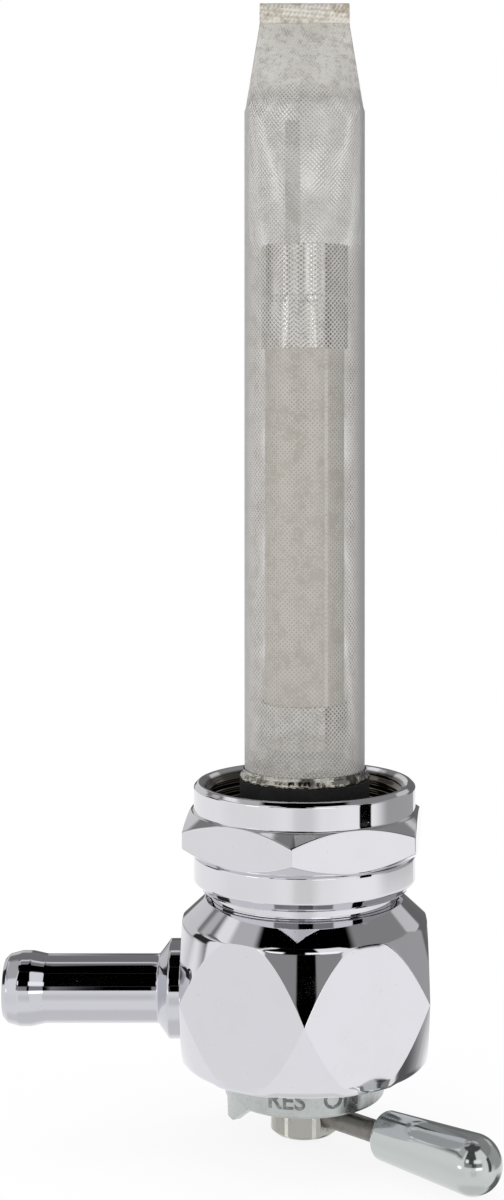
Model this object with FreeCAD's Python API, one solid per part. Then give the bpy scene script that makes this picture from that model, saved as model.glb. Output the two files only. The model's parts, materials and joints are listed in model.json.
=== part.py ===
import FreeCAD, Part
import math
import os

# A motorcycle fuel tap with a reserve position. The origin is the centre of the
# coupling nut's mouth, the strainer stands up along +Z, the hose spigot points
# along -X, and the lever turns about Z below the body.
# Lengths are in millimetres and angles in degrees. Polar angles start at +X and
# grow towards +Y.

# Fits
turning_gap = 0.06          # radial gap of a piece that turns in another
seat_gap = 0.03             # radial gap of a piece that is pressed or screwed home
free_gap = 0.4              # radial gap of a piece that only has to pass

# Coupling nut, which screws onto the tank's threaded stub
thread_d = 22.0
thread_depth = 0.54
nut_height = 11.7
nut_rim_wall = 1.35
nut_hex_proud = 0.35        # flats over the rims
nut_hex_drop = 2.85         # mouth to the top of the hexagon
nut_hex_height = 4.7
nut_hex_turn = -5.4         # turn of the nut's corners from the body's corners
nut_corner_slope = 30.0     # slope of the turned chamfer on the hexagon's corners
nut_edge = 0.45             # chamfer on the rims' outer edges
mouth_chamfer = 0.5

# Gasket that the tank's stub presses on, with an upright lip round the strainer's foot
gasket_depth = 4.6          # mouth to the gasket's upper face
gasket_thickness = 1.5
gasket_gap = 0.15           # gasket's edge to the thread's crests
gasket_lip_wall = 0.5
gasket_lip_top = 0.4        # lip's top over the nut's mouth

# Body
body_hex_af = 27.1
body_drop = 1.1             # nut's lower face to the top of the body's shoulder
shoulder_lip = 0.1          # shoulder's top edge over the neck's thread
shoulder_drop = 2.4
ridge_proud = 0.15          # ridge's radius over the middle of a flat
upper_cone_drop = 7.45      # ridge to the widest level, where the flats' corners are
lower_cone_drop = 8.25      # widest level to the underside
lower_cone_proud = 0.2      # lower cone's foot over the middle of a flat
base_round = 1.0
base_edge = 0.9             # how far the rounded edge comes in from the lower cone
relief_depth = 0.64         # turned groove under the neck's thread
neck_edge = 0.4

# Rotor chamber in the body, open below
chamber_r = 6.4
ceiling_drop = 4.4          # shoulder's top to the chamber's ceiling
chamber_wall = 1.4
chamber_boss_height = 2.75
port_inset = 2.8            # chamber's wall to the ports' middle
port_r = 1.1

# Passages above the ceiling
supply_bore_r = 2.0
supply_bore_floor = 5.2     # chamber's ceiling to the end of the straight bore
inclined_passage_r = 0.95
passage_overrun = 0.03      # share of its length that a slanted drill runs on
reserve_mouth_inset = 1.35  # strainer seat's edge to the middle of the reserve inlet

# Strainer seat on the neck
strainer_seat_height = 1.5  # seat's top over the nut's mouth
strainer_seat_edge = 0.4

# Gauze strainer
gauze_r = 6.7
gauze_wall = 0.4
gauze_shoulder = 74.5       # where the round tube starts to be pinched
pinch_height = 9.5
flat_width = 10.0
flat_thickness = 1.5
gusset_depth = 4.6          # how far the folds come in from the flat end's edges
pinch_corner_angle = 12.0   # place on the round tube where the flat end's corners start
pinch_facets = 4            # facets in a quarter of a panel
inner_end_share = 0.5       # how far up the pinched part its hollow reaches
inner_end_scale = 0.8
solder_height = 2.5
solder_round = 0.5
gap_columns = 6
gap_rows = 5
gap_width = 4.8
gap_length = 9.6
gap_start = 9.0             # first row of gaps over the nut's mouth
hoop_height = 0.12
hoop_width = 0.5

# Ferrule that clamps the gauze's foot
ferrule_wall = 0.35
ferrule_top = 2.4
ferrule_flare = 0.3
ferrule_neck_height = 1.0

# Standpipe, its socket and its tip
standpipe_r = 4.4
standpipe_wall = 0.6
standpipe_top = 57.2
tip_wall = 0.37
tip_lip = 2.4               # standpipe's top to the tip's top
tip_sleeve = 9.1            # standpipe's top down to the tip's foot
tip_groove_drop = 3.6       # standpipe's top down to the groove
tip_groove_width = 0.7
tip_groove_depth = 0.35
socket_thread_r = 3.0
socket_thread_length = 6.5
socket_neck_step = 0.6
socket_neck_height = 2.5
socket_cup_wall = 0.37
socket_cup_height = 4.9
socket_cup_floor = 1.0
socket_washer_thickness = 0.6

# Hose spigot
outlet_drop = 4.55          # rotor's top to the spigot's axis
spigot_reach = 33.4         # tap's axis to the spigot's end
spigot_r = 3.735
spigot_bore_r = 2.4
bead_height = 0.345
bead_start = 4.7            # spigot's end back to the foot of the bead
bead_slope_length = 1.6
bead_land = 1.2
spigot_end_edge = 0.55
flange_width = 1.665
flange_rim = 1.4
flange_cone = 1.25
spigot_thread_step = 0.265
outlet_wall = 1.8           # chamber's wall to the floor of the spigot's hole
spigot_washer_thickness = 0.8

# Rotor, its seals and its spring
port_seal_thickness = 1.4
seal_nub_r = 0.6
seal_nub_height = 0.8
rotor_shoulder_width = 2.6
stem_reach = 4.25           # dial's lower face to the stem's end
stem_edge = 0.4
ring_width = 1.2
ring_thickness = 1.24
ring_groove_width = 1.4
upper_ring_drop = 1.3       # rotor's top to the middle of the upper groove
lower_ring_drop = 4.25      # spigot's axis to the middle of the lower groove
outlet_groove_width = 3.6
outlet_groove_depth = 1.24
ball_r = 1.0
ball_inset = 0.4            # chamber's wall to the ball's middle
ball_rise = 1.8             # rotor's shoulder to the ball's middle
ball_gap = 0.15
notch_depth = 0.2
spring_pocket_depth = 4.6   # ball's middle to the pocket's floor
spring_wire_r = 0.15        # half the width of the square wire
spring_coil_r = 0.7
spring_turns = 3
disc_spring_height = 1.1
disc_spring_wall = 0.4
thrust_washer_thickness = 0.8

# Dial collar with its hanging stop tooth
dial_wall = 1.02
dial_flare = 0.2
dial_floor = 1.0
dial_edge = 0.25
tooth_drop = 1.8
tooth_low_angle = -165.0
tooth_high_angle = -136.0
tooth_tip_inset = 2.0       # degrees that the tip stands in from the steep flank
tooth_tip_width = 10.0
tooth_wall = 1.0

# Lever
lever_angle = -43.0
rod_r = 1.2
rod_clearance = 0.7         # dial's lower face to the rod
rod_start = -2.0
rod_in_knob = 4.5
knob_start = 11.6
knob_end = 26.9
knob_taper = 0.5            # growth of the radius from foot to dome
knob_face_wall = 0.72
knob_shoulder = 0.7

# Lever positions: at rest the tap is open
reserve_turn = -60.0
closed_turn = 60.0
port_angle = lever_angle + 180.0
detent_angle = lever_angle + 90.0

# Levels that follow
nut_bottom = -nut_height
nut_hex_top = -nut_hex_drop
nut_hex_bottom = nut_hex_top - nut_hex_height
gasket_top = -gasket_depth
neck_top = gasket_top - gasket_thickness
shoulder_top = nut_bottom - body_drop
ridge_level = shoulder_top - shoulder_drop
wide_level = ridge_level - upper_cone_drop
base_level = wide_level - lower_cone_drop
chamber_boss_bottom = base_level - chamber_boss_height
ceiling = shoulder_top - ceiling_drop
rotor_top = ceiling - port_seal_thickness
thrust_washer_top = chamber_boss_bottom + thrust_washer_thickness
rotor_shoulder = thrust_washer_top + disc_spring_height
dial_bottom = chamber_boss_bottom - dial_floor
stem_bottom = dial_bottom - stem_reach
rod_level = dial_bottom - rod_clearance - rod_r
ball_level = rotor_shoulder + ball_rise
outlet_level = rotor_top - outlet_drop
upper_ring_level = rotor_top - upper_ring_drop
lower_ring_level = outlet_level - lower_ring_drop
supply_bore_bottom = ceiling + supply_bore_floor
seat_top = strainer_seat_height
gauze_flat_level = gauze_shoulder + pinch_height
socket_bottom = seat_top - socket_thread_length
socket_cup_bottom = seat_top + socket_neck_height
tip_bottom = standpipe_top - tip_sleeve
tip_top = standpipe_top + tip_lip
tip_groove_level = standpipe_top - tip_groove_drop
standpipe_bottom = socket_cup_bottom + socket_cup_floor

# Radii that follow
nut_bore_r = thread_d / 2
nut_rim_r = nut_bore_r + nut_rim_wall
nut_hex_af = 2 * (nut_rim_r + nut_hex_proud)
neck_r = nut_bore_r - turning_gap
shoulder_r = nut_bore_r + shoulder_lip
relief_r = neck_r - relief_depth
gauze_inner_r = gauze_r - gauze_wall
seat_r = gauze_inner_r - seat_gap
ferrule_inner_r = gauze_r + seat_gap
ferrule_r = ferrule_inner_r + ferrule_wall
reserve_mouth_pitch_r = seat_r - reserve_mouth_inset
standpipe_inner_r = standpipe_r - standpipe_wall
tip_r = standpipe_r + seat_gap + tip_wall
socket_neck_r = socket_thread_r + socket_neck_step
socket_cup_r = standpipe_r + seat_gap + socket_cup_wall
chamber_boss_r = chamber_r + chamber_wall
port_pitch_r = chamber_r - port_inset
rotor_r = chamber_r - turning_gap
stem_r = chamber_r - rotor_shoulder_width
outlet_groove_r = rotor_r - outlet_groove_depth
ball_pitch_r = chamber_r - ball_inset
spring_pocket_start = ball_pitch_r - spring_pocket_depth
stem_hole_r = stem_r + turning_gap
ring_outer_r = chamber_r - seat_gap
ring_inner_r = ring_outer_r - ring_thickness
ring_groove_r = ring_inner_r - seat_gap
body_corner_r = body_hex_af / 2 / math.cos(math.radians(30))
ridge_r = body_hex_af / 2 + ridge_proud
body_flat = body_hex_af / 2
lower_cone_r = body_flat + lower_cone_proud
spigot_hole_floor = chamber_r + outlet_wall
spigot_inner_end = spigot_hole_floor + spigot_washer_thickness
spigot_thread_r = spigot_r + spigot_thread_step
bead_r = spigot_r + bead_height
flange_r = spigot_r + flange_width
dial_r = chamber_boss_r + seat_gap + dial_wall
knob_face_r = rod_r + seat_gap + knob_face_wall
knob_foot_r = knob_face_r + knob_shoulder
knob_r = knob_foot_r + knob_taper


def polar(radius, angle, level=0.0):
    """Point at a radius and a polar angle from the tap's axis."""
    turn = math.radians(angle)
    return FreeCAD.Vector(radius * math.cos(turn), radius * math.sin(turn), level)


def turned(corners):
    """Solid turned about Z from a closed outline of (radius, level) corners."""
    points = [FreeCAD.Vector(radius, 0, level) for radius, level in corners]
    outline = Part.makePolygon(points + points[:1])
    return Part.Face(outline).revolve(FreeCAD.Vector(), FreeCAD.Vector(0, 0, 1), 360)


def turned_edges(edges):
    """Solid turned about Z from the joined edges of a closed outline."""
    outline = Part.Wire(edges)
    return Part.Face(outline).revolve(FreeCAD.Vector(), FreeCAD.Vector(0, 0, 1), 360)


def line(start, end):
    """Straight edge of an outline, between two (radius, level) corners."""
    first = FreeCAD.Vector(start[0], 0, start[1])
    second = FreeCAD.Vector(end[0], 0, end[1])
    return Part.LineSegment(first, second).toShape()


def lines(corners):
    """Straight edges of an outline through (radius, level) corners."""
    return [line(start, end) for start, end in zip(corners, corners[1:])]


def arc(start, middle, end):
    """Round edge of an outline through three (radius, level) points."""
    points = [FreeCAD.Vector(radius, 0, level) for radius, level in (start, middle, end)]
    return Part.Arc(*points).toShape()


def ring(inner_r, outer_r, bottom, top):
    """Flat washer or short tube about Z."""
    return turned([(inner_r, bottom), (outer_r, bottom), (outer_r, top), (inner_r, top)])


def plug(radius, bottom, top):
    """Upright cylinder about Z, used to cut bores."""
    return Part.makeCylinder(radius, top - bottom, FreeCAD.Vector(0, 0, bottom))


def drill(radius, start, end):
    """Cylinder from one point to another, used to cut slanted and radial holes."""
    direction = end - start
    return Part.makeCylinder(radius, direction.Length, start, direction)


def hexagon(across_flats, corner_angle, bottom, top):
    """Hexagonal prism about Z with one corner at a polar angle."""
    corner_r = across_flats / 2 / math.cos(math.radians(30))
    corners = [polar(corner_r, corner_angle + 60 * side, bottom) for side in range(6)]
    outline = Part.makePolygon(corners + corners[:1])
    return Part.Face(outline).extrude(FreeCAD.Vector(0, 0, top - bottom))


def laid_along(shape, angle, level):
    """Move a piece that was turned about Z so that its axis points out at a polar angle."""
    moved = shape.copy()
    moved.rotate(FreeCAD.Vector(), FreeCAD.Vector(0, 1, 0), 90)
    moved.rotate(FreeCAD.Vector(), FreeCAD.Vector(0, 0, 1), angle)
    moved.translate(FreeCAD.Vector(0, 0, level))
    return moved


def coupling_nut():
    """Union nut: round rim, hexagon with turned corners, round rim, and the threaded bore."""
    corner_r = nut_hex_af / 2 / math.cos(math.radians(30))
    face_r = nut_hex_af / 2
    corner_drop = (corner_r - face_r) * math.tan(math.radians(nut_corner_slope))
    rims = turned([
        (nut_bore_r, nut_bottom + mouth_chamfer),
        (nut_bore_r + mouth_chamfer, nut_bottom),
        (nut_rim_r - nut_edge, nut_bottom),
        (nut_rim_r, nut_bottom + nut_edge),
        (nut_rim_r, -nut_edge),
        (nut_rim_r - nut_edge, 0),
        (nut_bore_r + mouth_chamfer, 0),
        (nut_bore_r, -mouth_chamfer),
    ])
    corners = turned([
        (nut_bore_r, nut_hex_bottom),
        (face_r, nut_hex_bottom),
        (corner_r, nut_hex_bottom + corner_drop),
        (corner_r, nut_hex_top - corner_drop),
        (face_r, nut_hex_top),
        (nut_bore_r, nut_hex_top),
    ])
    prism = hexagon(nut_hex_af, -90 + nut_hex_turn, nut_hex_bottom, nut_hex_top)
    return rims.fuse(corners.common(prism)).removeSplitter()


def body_blank():
    """Outside of the body: neck, relief groove, conical shoulder, two cones and the lower boss,
    milled to a hexagon so that each flat ends in a curve and two flats meet in a point."""
    relief_top = nut_bottom + neck_edge
    base_start = (lower_cone_r - base_edge, base_level)
    base_end = (lower_cone_r, base_level + base_round)
    base_middle = (
        lower_cone_r - base_edge * (1 - math.sin(math.radians(45))),
        base_level + base_round * (1 - math.cos(math.radians(45))),
    )
    below = lines([
        (0, seat_top),
        (0, chamber_boss_bottom),
        (chamber_boss_r, chamber_boss_bottom),
        (chamber_boss_r, base_level),
        base_start,
    ])
    above = lines([
        base_end,
        (body_corner_r, wide_level),
        (ridge_r, ridge_level),
        (shoulder_r, shoulder_top),
        (relief_r, shoulder_top),
        (relief_r, relief_top),
        (neck_r, relief_top + neck_r - relief_r),
        (neck_r, neck_top - neck_edge),
        (neck_r - neck_edge, neck_top),
        (seat_r, neck_top),
        (seat_r, seat_top - strainer_seat_edge),
        (seat_r - strainer_seat_edge, seat_top),
        (0, seat_top),
    ])
    turned_blank = turned_edges(below + [arc(base_start, base_middle, base_end)] + above)
    prism = hexagon(body_hex_af, -90, chamber_boss_bottom, seat_top)
    return turned_blank.common(prism)


def detent_track():
    """Groove that the detent ball runs in, with a deeper notch at each lever position."""
    track_floor = ball_pitch_r + ball_r + ball_gap
    half_width = ball_r + ball_gap
    track = ring(chamber_r - ball_gap, track_floor, ball_level - half_width, ball_level + half_width)
    for turn in (0.0, reserve_turn, closed_turn):
        notch = plug(ball_r, chamber_r - ball_gap, track_floor + notch_depth)
        track = track.fuse(laid_along(notch, detent_angle + turn, ball_level))
    return track


def valve_body():
    """Body with the rotor chamber, the two supply passages and the outlet hole."""
    socket_hole_bottom = socket_bottom - socket_washer_thickness
    main_start = FreeCAD.Vector(0, 0, supply_bore_bottom + inclined_passage_r)
    main_end = polar(port_pitch_r, port_angle, ceiling)
    reserve_angle = port_angle + reserve_turn
    reserve_start = polar(reserve_mouth_pitch_r, reserve_angle, seat_top)
    reserve_end = polar(port_pitch_r, reserve_angle, ceiling)
    main_overrun = (main_end - main_start) * passage_overrun
    reserve_overrun = (reserve_start - reserve_end) * passage_overrun
    cuts = [
        plug(chamber_r, chamber_boss_bottom, ceiling),
        plug(socket_thread_r + seat_gap, socket_hole_bottom, seat_top),
        plug(supply_bore_r, supply_bore_bottom, socket_hole_bottom),
        drill(inclined_passage_r, main_start, main_end + main_overrun),
        drill(inclined_passage_r, reserve_start + reserve_overrun, reserve_end - reserve_overrun),
        laid_along(plug(spigot_thread_r + seat_gap, spigot_hole_floor, body_flat), 180, outlet_level),
        laid_along(plug(spigot_bore_r, 0, spigot_hole_floor), 180, outlet_level),
        detent_track(),
    ]
    for angle in nub_angles():
        foot = polar(port_pitch_r, angle, ceiling)
        top = foot + FreeCAD.Vector(0, 0, seal_nub_height + seat_gap)
        cuts.append(drill(seal_nub_r + seat_gap, foot, top))
    body = body_blank()
    for cut in cuts:
        body = body.cut(cut)
    return body


def nub_angles():
    """Polar angles of the port seal's two nubs, opposite the two ports."""
    return (port_angle + 180, port_angle + 180 + reserve_turn)


def tank_gasket():
    """Flat ring between the neck and the tank's stub, with a lip that stands round the gauze."""
    outer_r = nut_bore_r - thread_depth - gasket_gap
    return turned([
        (ferrule_inner_r, neck_top),
        (outer_r, neck_top),
        (outer_r, gasket_top),
        (ferrule_inner_r + gasket_lip_wall, gasket_top),
        (ferrule_inner_r + gasket_lip_wall, gasket_lip_top),
        (ferrule_inner_r, gasket_lip_top),
    ])


def pinched_section(share, level, round_r):
    """Corners of the pinched tube's section, a given share of the way from the round tube to the
    flat end. The front and back panels narrow to the flat's width, and a narrow fold runs inwards
    on each side."""
    half_width = flat_width / 2
    half_thickness = flat_thickness / 2
    quarter = []
    panel = [step / pinch_facets for step in range(pinch_facets + 1)]
    fold = [(0.0, half_width - gusset_depth, 0.0)]
    front = [
        (pinch_corner_angle + (90 - pinch_corner_angle) * along, half_width * (1 - along), half_thickness)
        for along in panel
    ]
    for angle, flat_x, flat_y in fold + front:
        circle = polar(round_r, angle)
        x = circle.x + (flat_x - circle.x) * share
        y = circle.y + (flat_y - circle.y) * share
        quarter.append((x, y))
    inner = quarter[1:-1]
    corners = quarter[:-1] + [(0, quarter[-1][1])] + [(-x, y) for x, y in reversed(inner)]
    corners += [(-quarter[0][0], 0)] + [(-x, -y) for x, y in inner]
    corners += [(0, -quarter[-1][1])] + [(x, -y) for x, y in reversed(inner)]
    return [FreeCAD.Vector(x, y, level) for x, y in corners]


def ruled_solid(lower, upper):
    """Solid between two outlines with equally many corners, joined by straight lines."""
    wires = [Part.makePolygon(points + points[:1]) for points in (lower, upper)]
    return Part.makeLoft(wires, True, True)


def gauze_gap(angle, level):
    """Diamond-shaped cutter for one gap of the gauze and the gap opposite to it."""
    reach = gauze_r + hoop_height + free_gap
    corners = [(-gap_width / 2, 0), (0, -gap_length / 2), (gap_width / 2, 0), (0, gap_length / 2)]
    points = [FreeCAD.Vector(-reach, y, z) for y, z in corners]
    outline = Part.makePolygon(points + points[:1])
    cutter = Part.Face(outline).extrude(FreeCAD.Vector(2 * reach, 0, 0))
    cutter.rotate(FreeCAD.Vector(), FreeCAD.Vector(0, 0, 1), angle)
    cutter.translate(FreeCAD.Vector(0, 0, level))
    return cutter


def strainer_mesh():
    """Gauze tube with a pinched, gusseted end. Rows of gaps and hoops stand for the weave."""
    row_pitch = (gauze_shoulder - gap_start - gap_length) / (gap_rows - 1)
    outside = plug(gauze_r, neck_top, gauze_shoulder)
    for row in range(gap_rows - 1):
        level = gap_start + row_pitch * (row + 0.5)
        hoop = turned([
            (gauze_inner_r, level - hoop_width / 2),
            (gauze_r, level - hoop_width / 2),
            (gauze_r + hoop_height, level),
            (gauze_r, level + hoop_width / 2),
            (gauze_inner_r, level + hoop_width / 2),
        ])
        outside = outside.fuse(hoop)
    tube = outside.cut(plug(gauze_inner_r, neck_top, gauze_shoulder))
    inner_level = gauze_shoulder + pinch_height * inner_end_share
    pinch = ruled_solid(
        pinched_section(0.0, gauze_shoulder, gauze_r),
        pinched_section(1.0, gauze_flat_level, gauze_r),
    )
    inner_top = pinched_section(inner_end_share, inner_level, gauze_r)
    inner_top = [FreeCAD.Vector(p.x * inner_end_scale, p.y * inner_end_scale, p.z) for p in inner_top]
    hollow = ruled_solid(pinched_section(0.0, gauze_shoulder, gauze_inner_r), inner_top)
    strainer = tube.fuse(pinch.cut(hollow))
    cutters = []
    for row in range(gap_rows):
        stagger = 0.5 * (row % 2)
        for column in range(gap_columns // 2):
            angle = (column + stagger) * 360 / gap_columns
            cutters.append(gauze_gap(angle, gap_start + row_pitch * row))
    return strainer.cut(Part.makeCompound(cutters))


def strainer_solder():
    """Soldered band across the flat end."""
    blank = Part.makeBox(
        flat_width, flat_thickness, solder_height,
        FreeCAD.Vector(-flat_width / 2, -flat_thickness / 2, gauze_flat_level),
    )
    upright = [edge for edge in blank.Edges if abs(edge.tangentAt(edge.FirstParameter).z) > 0.9]
    return blank.makeFillet(solder_round, upright)


def strainer_ferrule():
    """Clamping ring at the gauze's foot, flared to a wider skirt that stands on the gasket's lip."""
    skirt_r = ferrule_r + ferrule_flare
    flare_top = ferrule_top - ferrule_neck_height
    return turned([
        (ferrule_inner_r, gasket_lip_top),
        (skirt_r, gasket_lip_top),
        (skirt_r, flare_top - ferrule_flare),
        (ferrule_r, flare_top),
        (ferrule_r, ferrule_top),
        (ferrule_inner_r, ferrule_top),
    ])


def standpipe():
    """Tube that takes fuel from above the reserve level."""
    return ring(standpipe_inner_r, standpipe_r, standpipe_bottom, standpipe_top)


def standpipe_tip():
    """Sleeve over the standpipe's top, with a turned groove and an open end."""
    groove_low = tip_groove_level - tip_groove_width / 2
    groove_high = tip_groove_level + tip_groove_width / 2
    return turned([
        (standpipe_r + seat_gap, tip_bottom),
        (tip_r, tip_bottom),
        (tip_r, groove_low),
        (tip_r - tip_groove_depth, groove_low),
        (tip_r - tip_groove_depth, groove_high),
        (tip_r, groove_high),
        (tip_r, tip_top),
        (standpipe_inner_r, tip_top),
        (standpipe_inner_r, standpipe_top),
        (standpipe_r + seat_gap, standpipe_top),
    ])


def standpipe_socket():
    """Screwed-in cup that the standpipe stands in."""
    cup_top = socket_cup_bottom + socket_cup_height
    return turned([
        (supply_bore_r, socket_bottom),
        (socket_thread_r, socket_bottom),
        (socket_thread_r, seat_top),
        (socket_neck_r, seat_top),
        (socket_neck_r, socket_cup_bottom),
        (socket_cup_r, socket_cup_bottom),
        (socket_cup_r, cup_top),
        (standpipe_r + seat_gap, cup_top),
        (standpipe_r + seat_gap, standpipe_bottom),
        (supply_bore_r, standpipe_bottom),
    ])


def outlet_spigot():
    """Hose spigot with a bead near its end, a conical flange and a screwed-in root."""
    bead_foot = spigot_reach - bead_start
    land_start = bead_foot + bead_slope_length
    land_end = land_start + bead_land
    rim_end = body_flat + flange_rim
    blank = turned([
        (spigot_bore_r, spigot_inner_end),
        (spigot_thread_r - neck_edge, spigot_inner_end),
        (spigot_thread_r, spigot_inner_end + neck_edge),
        (spigot_thread_r, body_flat),
        (flange_r, body_flat),
        (flange_r, rim_end),
        (spigot_r, rim_end + flange_cone),
        (spigot_r, bead_foot),
        (bead_r, land_start),
        (bead_r, land_end),
        (spigot_r, spigot_reach - spigot_end_edge),
        (spigot_r - spigot_end_edge, spigot_reach),
        (spigot_bore_r, spigot_reach),
    ])
    return laid_along(blank, 180, outlet_level)


def spigot_washer():
    """Sealing washer at the bottom of the spigot's hole."""
    washer = ring(spigot_bore_r + seat_gap, spigot_thread_r, spigot_hole_floor, spigot_inner_end)
    return laid_along(washer, 180, outlet_level)


def socket_washer():
    """Sealing washer under the standpipe socket."""
    bottom = socket_bottom - socket_washer_thickness
    return ring(supply_bore_r, socket_thread_r, bottom, socket_bottom)


def port_seal():
    """Rubber disc with two port holes and two nubs that keep it from turning."""
    seal = plug(chamber_r - seat_gap, rotor_top, ceiling)
    for angle in nub_angles():
        foot = polar(port_pitch_r, angle, ceiling)
        top = foot + FreeCAD.Vector(0, 0, seal_nub_height)
        seal = seal.fuse(drill(seal_nub_r, foot, top))
    for angle in (port_angle, port_angle + reserve_turn):
        bottom = polar(port_pitch_r, angle, rotor_top)
        top = polar(port_pitch_r, angle, ceiling)
        seal = seal.cut(drill(port_r, bottom, top))
    return seal


def groove_corners(level, width, floor_r):
    """Four outline corners of a square groove in the rotor, from below upwards."""
    low = level - width / 2
    high = level + width / 2
    return [(rotor_r, low), (floor_r, low), (floor_r, high), (rotor_r, high)]


def valve_rotor():
    """Turning plug and stem in one piece: sealing grooves, outlet groove, port, detent pocket
    and the cross hole for the lever rod."""
    outline = [(0, stem_bottom), (stem_r - stem_edge, stem_bottom), (stem_r, stem_bottom + stem_edge)]
    outline += [(stem_r, rotor_shoulder), (rotor_r, rotor_shoulder)]
    outline += groove_corners(lower_ring_level, ring_groove_width, ring_groove_r)
    outline += groove_corners(outlet_level, outlet_groove_width, outlet_groove_r)
    outline += groove_corners(upper_ring_level, ring_groove_width, ring_groove_r)
    outline += [(rotor_r, rotor_top), (0, rotor_top)]
    rotor = turned(outline)
    port_top = polar(port_pitch_r, port_angle, rotor_top)
    port_foot = polar(port_pitch_r, port_angle, outlet_level - port_r)
    cross_start = polar(port_pitch_r, port_angle, outlet_level)
    cross_end = polar(rotor_r, port_angle, outlet_level)
    pocket = laid_along(plug(ball_r + ball_gap / 2, spring_pocket_start, chamber_r), detent_angle, ball_level)
    rod_hole = laid_along(plug(rod_r + seat_gap, rod_start, chamber_r), lever_angle, rod_level)
    rotor = rotor.cut(drill(port_r, port_foot, port_top))
    rotor = rotor.cut(drill(port_r, cross_start, cross_end))
    rotor = rotor.cut(pocket)
    return rotor.cut(rod_hole)


def rotor_ring(level):
    """Square-section sealing ring in one of the rotor's grooves."""
    return ring(ring_inner_r, ring_outer_r, level - ring_width / 2, level + ring_width / 2)


def detent_ball():
    """Ball that clicks into the notches of the chamber's wall."""
    return Part.makeSphere(ball_r, polar(ball_pitch_r, detent_angle, ball_level))


def detent_spring():
    """Coil spring of square wire between the pocket's floor and the ball."""
    end_gap = spring_wire_r + seat_gap
    start = spring_pocket_start + end_gap
    length = ball_pitch_r - ball_r - start - spring_wire_r + seat_gap
    path = Part.makeHelix(length / spring_turns, length, spring_coil_r)
    inner_r = spring_coil_r - spring_wire_r
    outer_r = spring_coil_r + spring_wire_r
    corners = [
        FreeCAD.Vector(inner_r, 0, -spring_wire_r),
        FreeCAD.Vector(outer_r, 0, -spring_wire_r),
        FreeCAD.Vector(outer_r, 0, spring_wire_r),
        FreeCAD.Vector(inner_r, 0, spring_wire_r),
    ]
    wire_section = Part.makePolygon(corners + corners[:1])
    coil = Part.Wire(path.Edges).makePipeShell([wire_section], True, True)
    coil.translate(FreeCAD.Vector(0, 0, start))
    return laid_along(coil, detent_angle, ball_level)


def disc_spring():
    """Conical spring washer that presses the rotor up against the port seal."""
    inner_r = stem_r + free_gap
    outer_r = chamber_r - free_gap / 2
    bottom = thrust_washer_top
    return turned([
        (inner_r, rotor_shoulder),
        (inner_r, rotor_shoulder - disc_spring_wall),
        (outer_r, bottom),
        (outer_r, bottom + disc_spring_wall),
    ])


def thrust_washer():
    """Flat washer on the dial's floor."""
    return ring(stem_hole_r, chamber_r - seat_gap, chamber_boss_bottom, thrust_washer_top)


def stop_tooth():
    """Stop tooth below the dial: one steep flank, a narrow tip and one slanting flank."""
    outer_r = dial_r
    inner_r = dial_r - tooth_wall
    middle = (tooth_low_angle + tooth_high_angle) / 2
    tip_low = tooth_low_angle + tooth_tip_inset
    tip_bottom_level = dial_bottom - tooth_drop
    root_level = dial_bottom + dial_floor / 2
    corners = []
    for angle, level in (
        (tooth_low_angle, root_level),
        (tip_low, tip_bottom_level),
        (tip_low + tooth_tip_width, tip_bottom_level),
        (tooth_high_angle, dial_bottom),
        (tooth_high_angle, root_level),
    ):
        across = outer_r * math.sin(math.radians(angle - middle))
        corners.append(FreeCAD.Vector(0, across, level))
    outline = Part.makePolygon(corners + corners[:1])
    blade = Part.Face(outline).extrude(FreeCAD.Vector(outer_r, 0, 0))
    blade.rotate(FreeCAD.Vector(), FreeCAD.Vector(0, 0, 1), middle)
    return blade.common(ring(inner_r, outer_r, tip_bottom_level, root_level))


def dial_collar():
    """Cup that closes the chamber, carries the position marks and limits the lever."""
    bore_r = chamber_boss_r + seat_gap
    cup = turned([
        (stem_hole_r, dial_bottom),
        (dial_r - dial_edge, dial_bottom),
        (dial_r, dial_bottom + dial_edge),
        (dial_r + dial_flare, base_level),
        (bore_r, base_level),
        (bore_r, chamber_boss_bottom),
        (stem_hole_r, chamber_boss_bottom),
    ])
    return cup.fuse(stop_tooth())


def lever_rod():
    """Plain steel rod from the stem into the knob."""
    rod = plug(rod_r, rod_start, knob_start + rod_in_knob)
    return laid_along(rod, lever_angle, rod_level)


def lever_knob():
    """Bullet-shaped knob: flat foot with a round shoulder, a slight taper and a ball end."""
    hole_r = rod_r + seat_gap
    hole_end = knob_start + rod_in_knob + seat_gap
    dome_start = knob_end - knob_r
    shoulder_end = knob_start + knob_shoulder
    shoulder_middle = (
        knob_face_r + (knob_foot_r - knob_face_r) * math.sin(math.radians(45)),
        shoulder_end - knob_shoulder * math.sin(math.radians(45)),
    )
    dome_middle = (
        knob_r * math.cos(math.radians(45)),
        dome_start + knob_r * math.sin(math.radians(45)),
    )
    knob = turned_edges([
        line((hole_r, knob_start), (knob_face_r, knob_start)),
        arc((knob_face_r, knob_start), shoulder_middle, (knob_foot_r, shoulder_end)),
        line((knob_foot_r, shoulder_end), (knob_r, dome_start)),
        arc((knob_r, dome_start), dome_middle, (0, knob_end)),
        line((0, knob_end), (0, hole_end)),
        line((0, hole_end), (hole_r, hole_end)),
        line((hole_r, hole_end), (hole_r, knob_start)),
    ])
    return laid_along(knob, lever_angle, rod_level)


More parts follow.
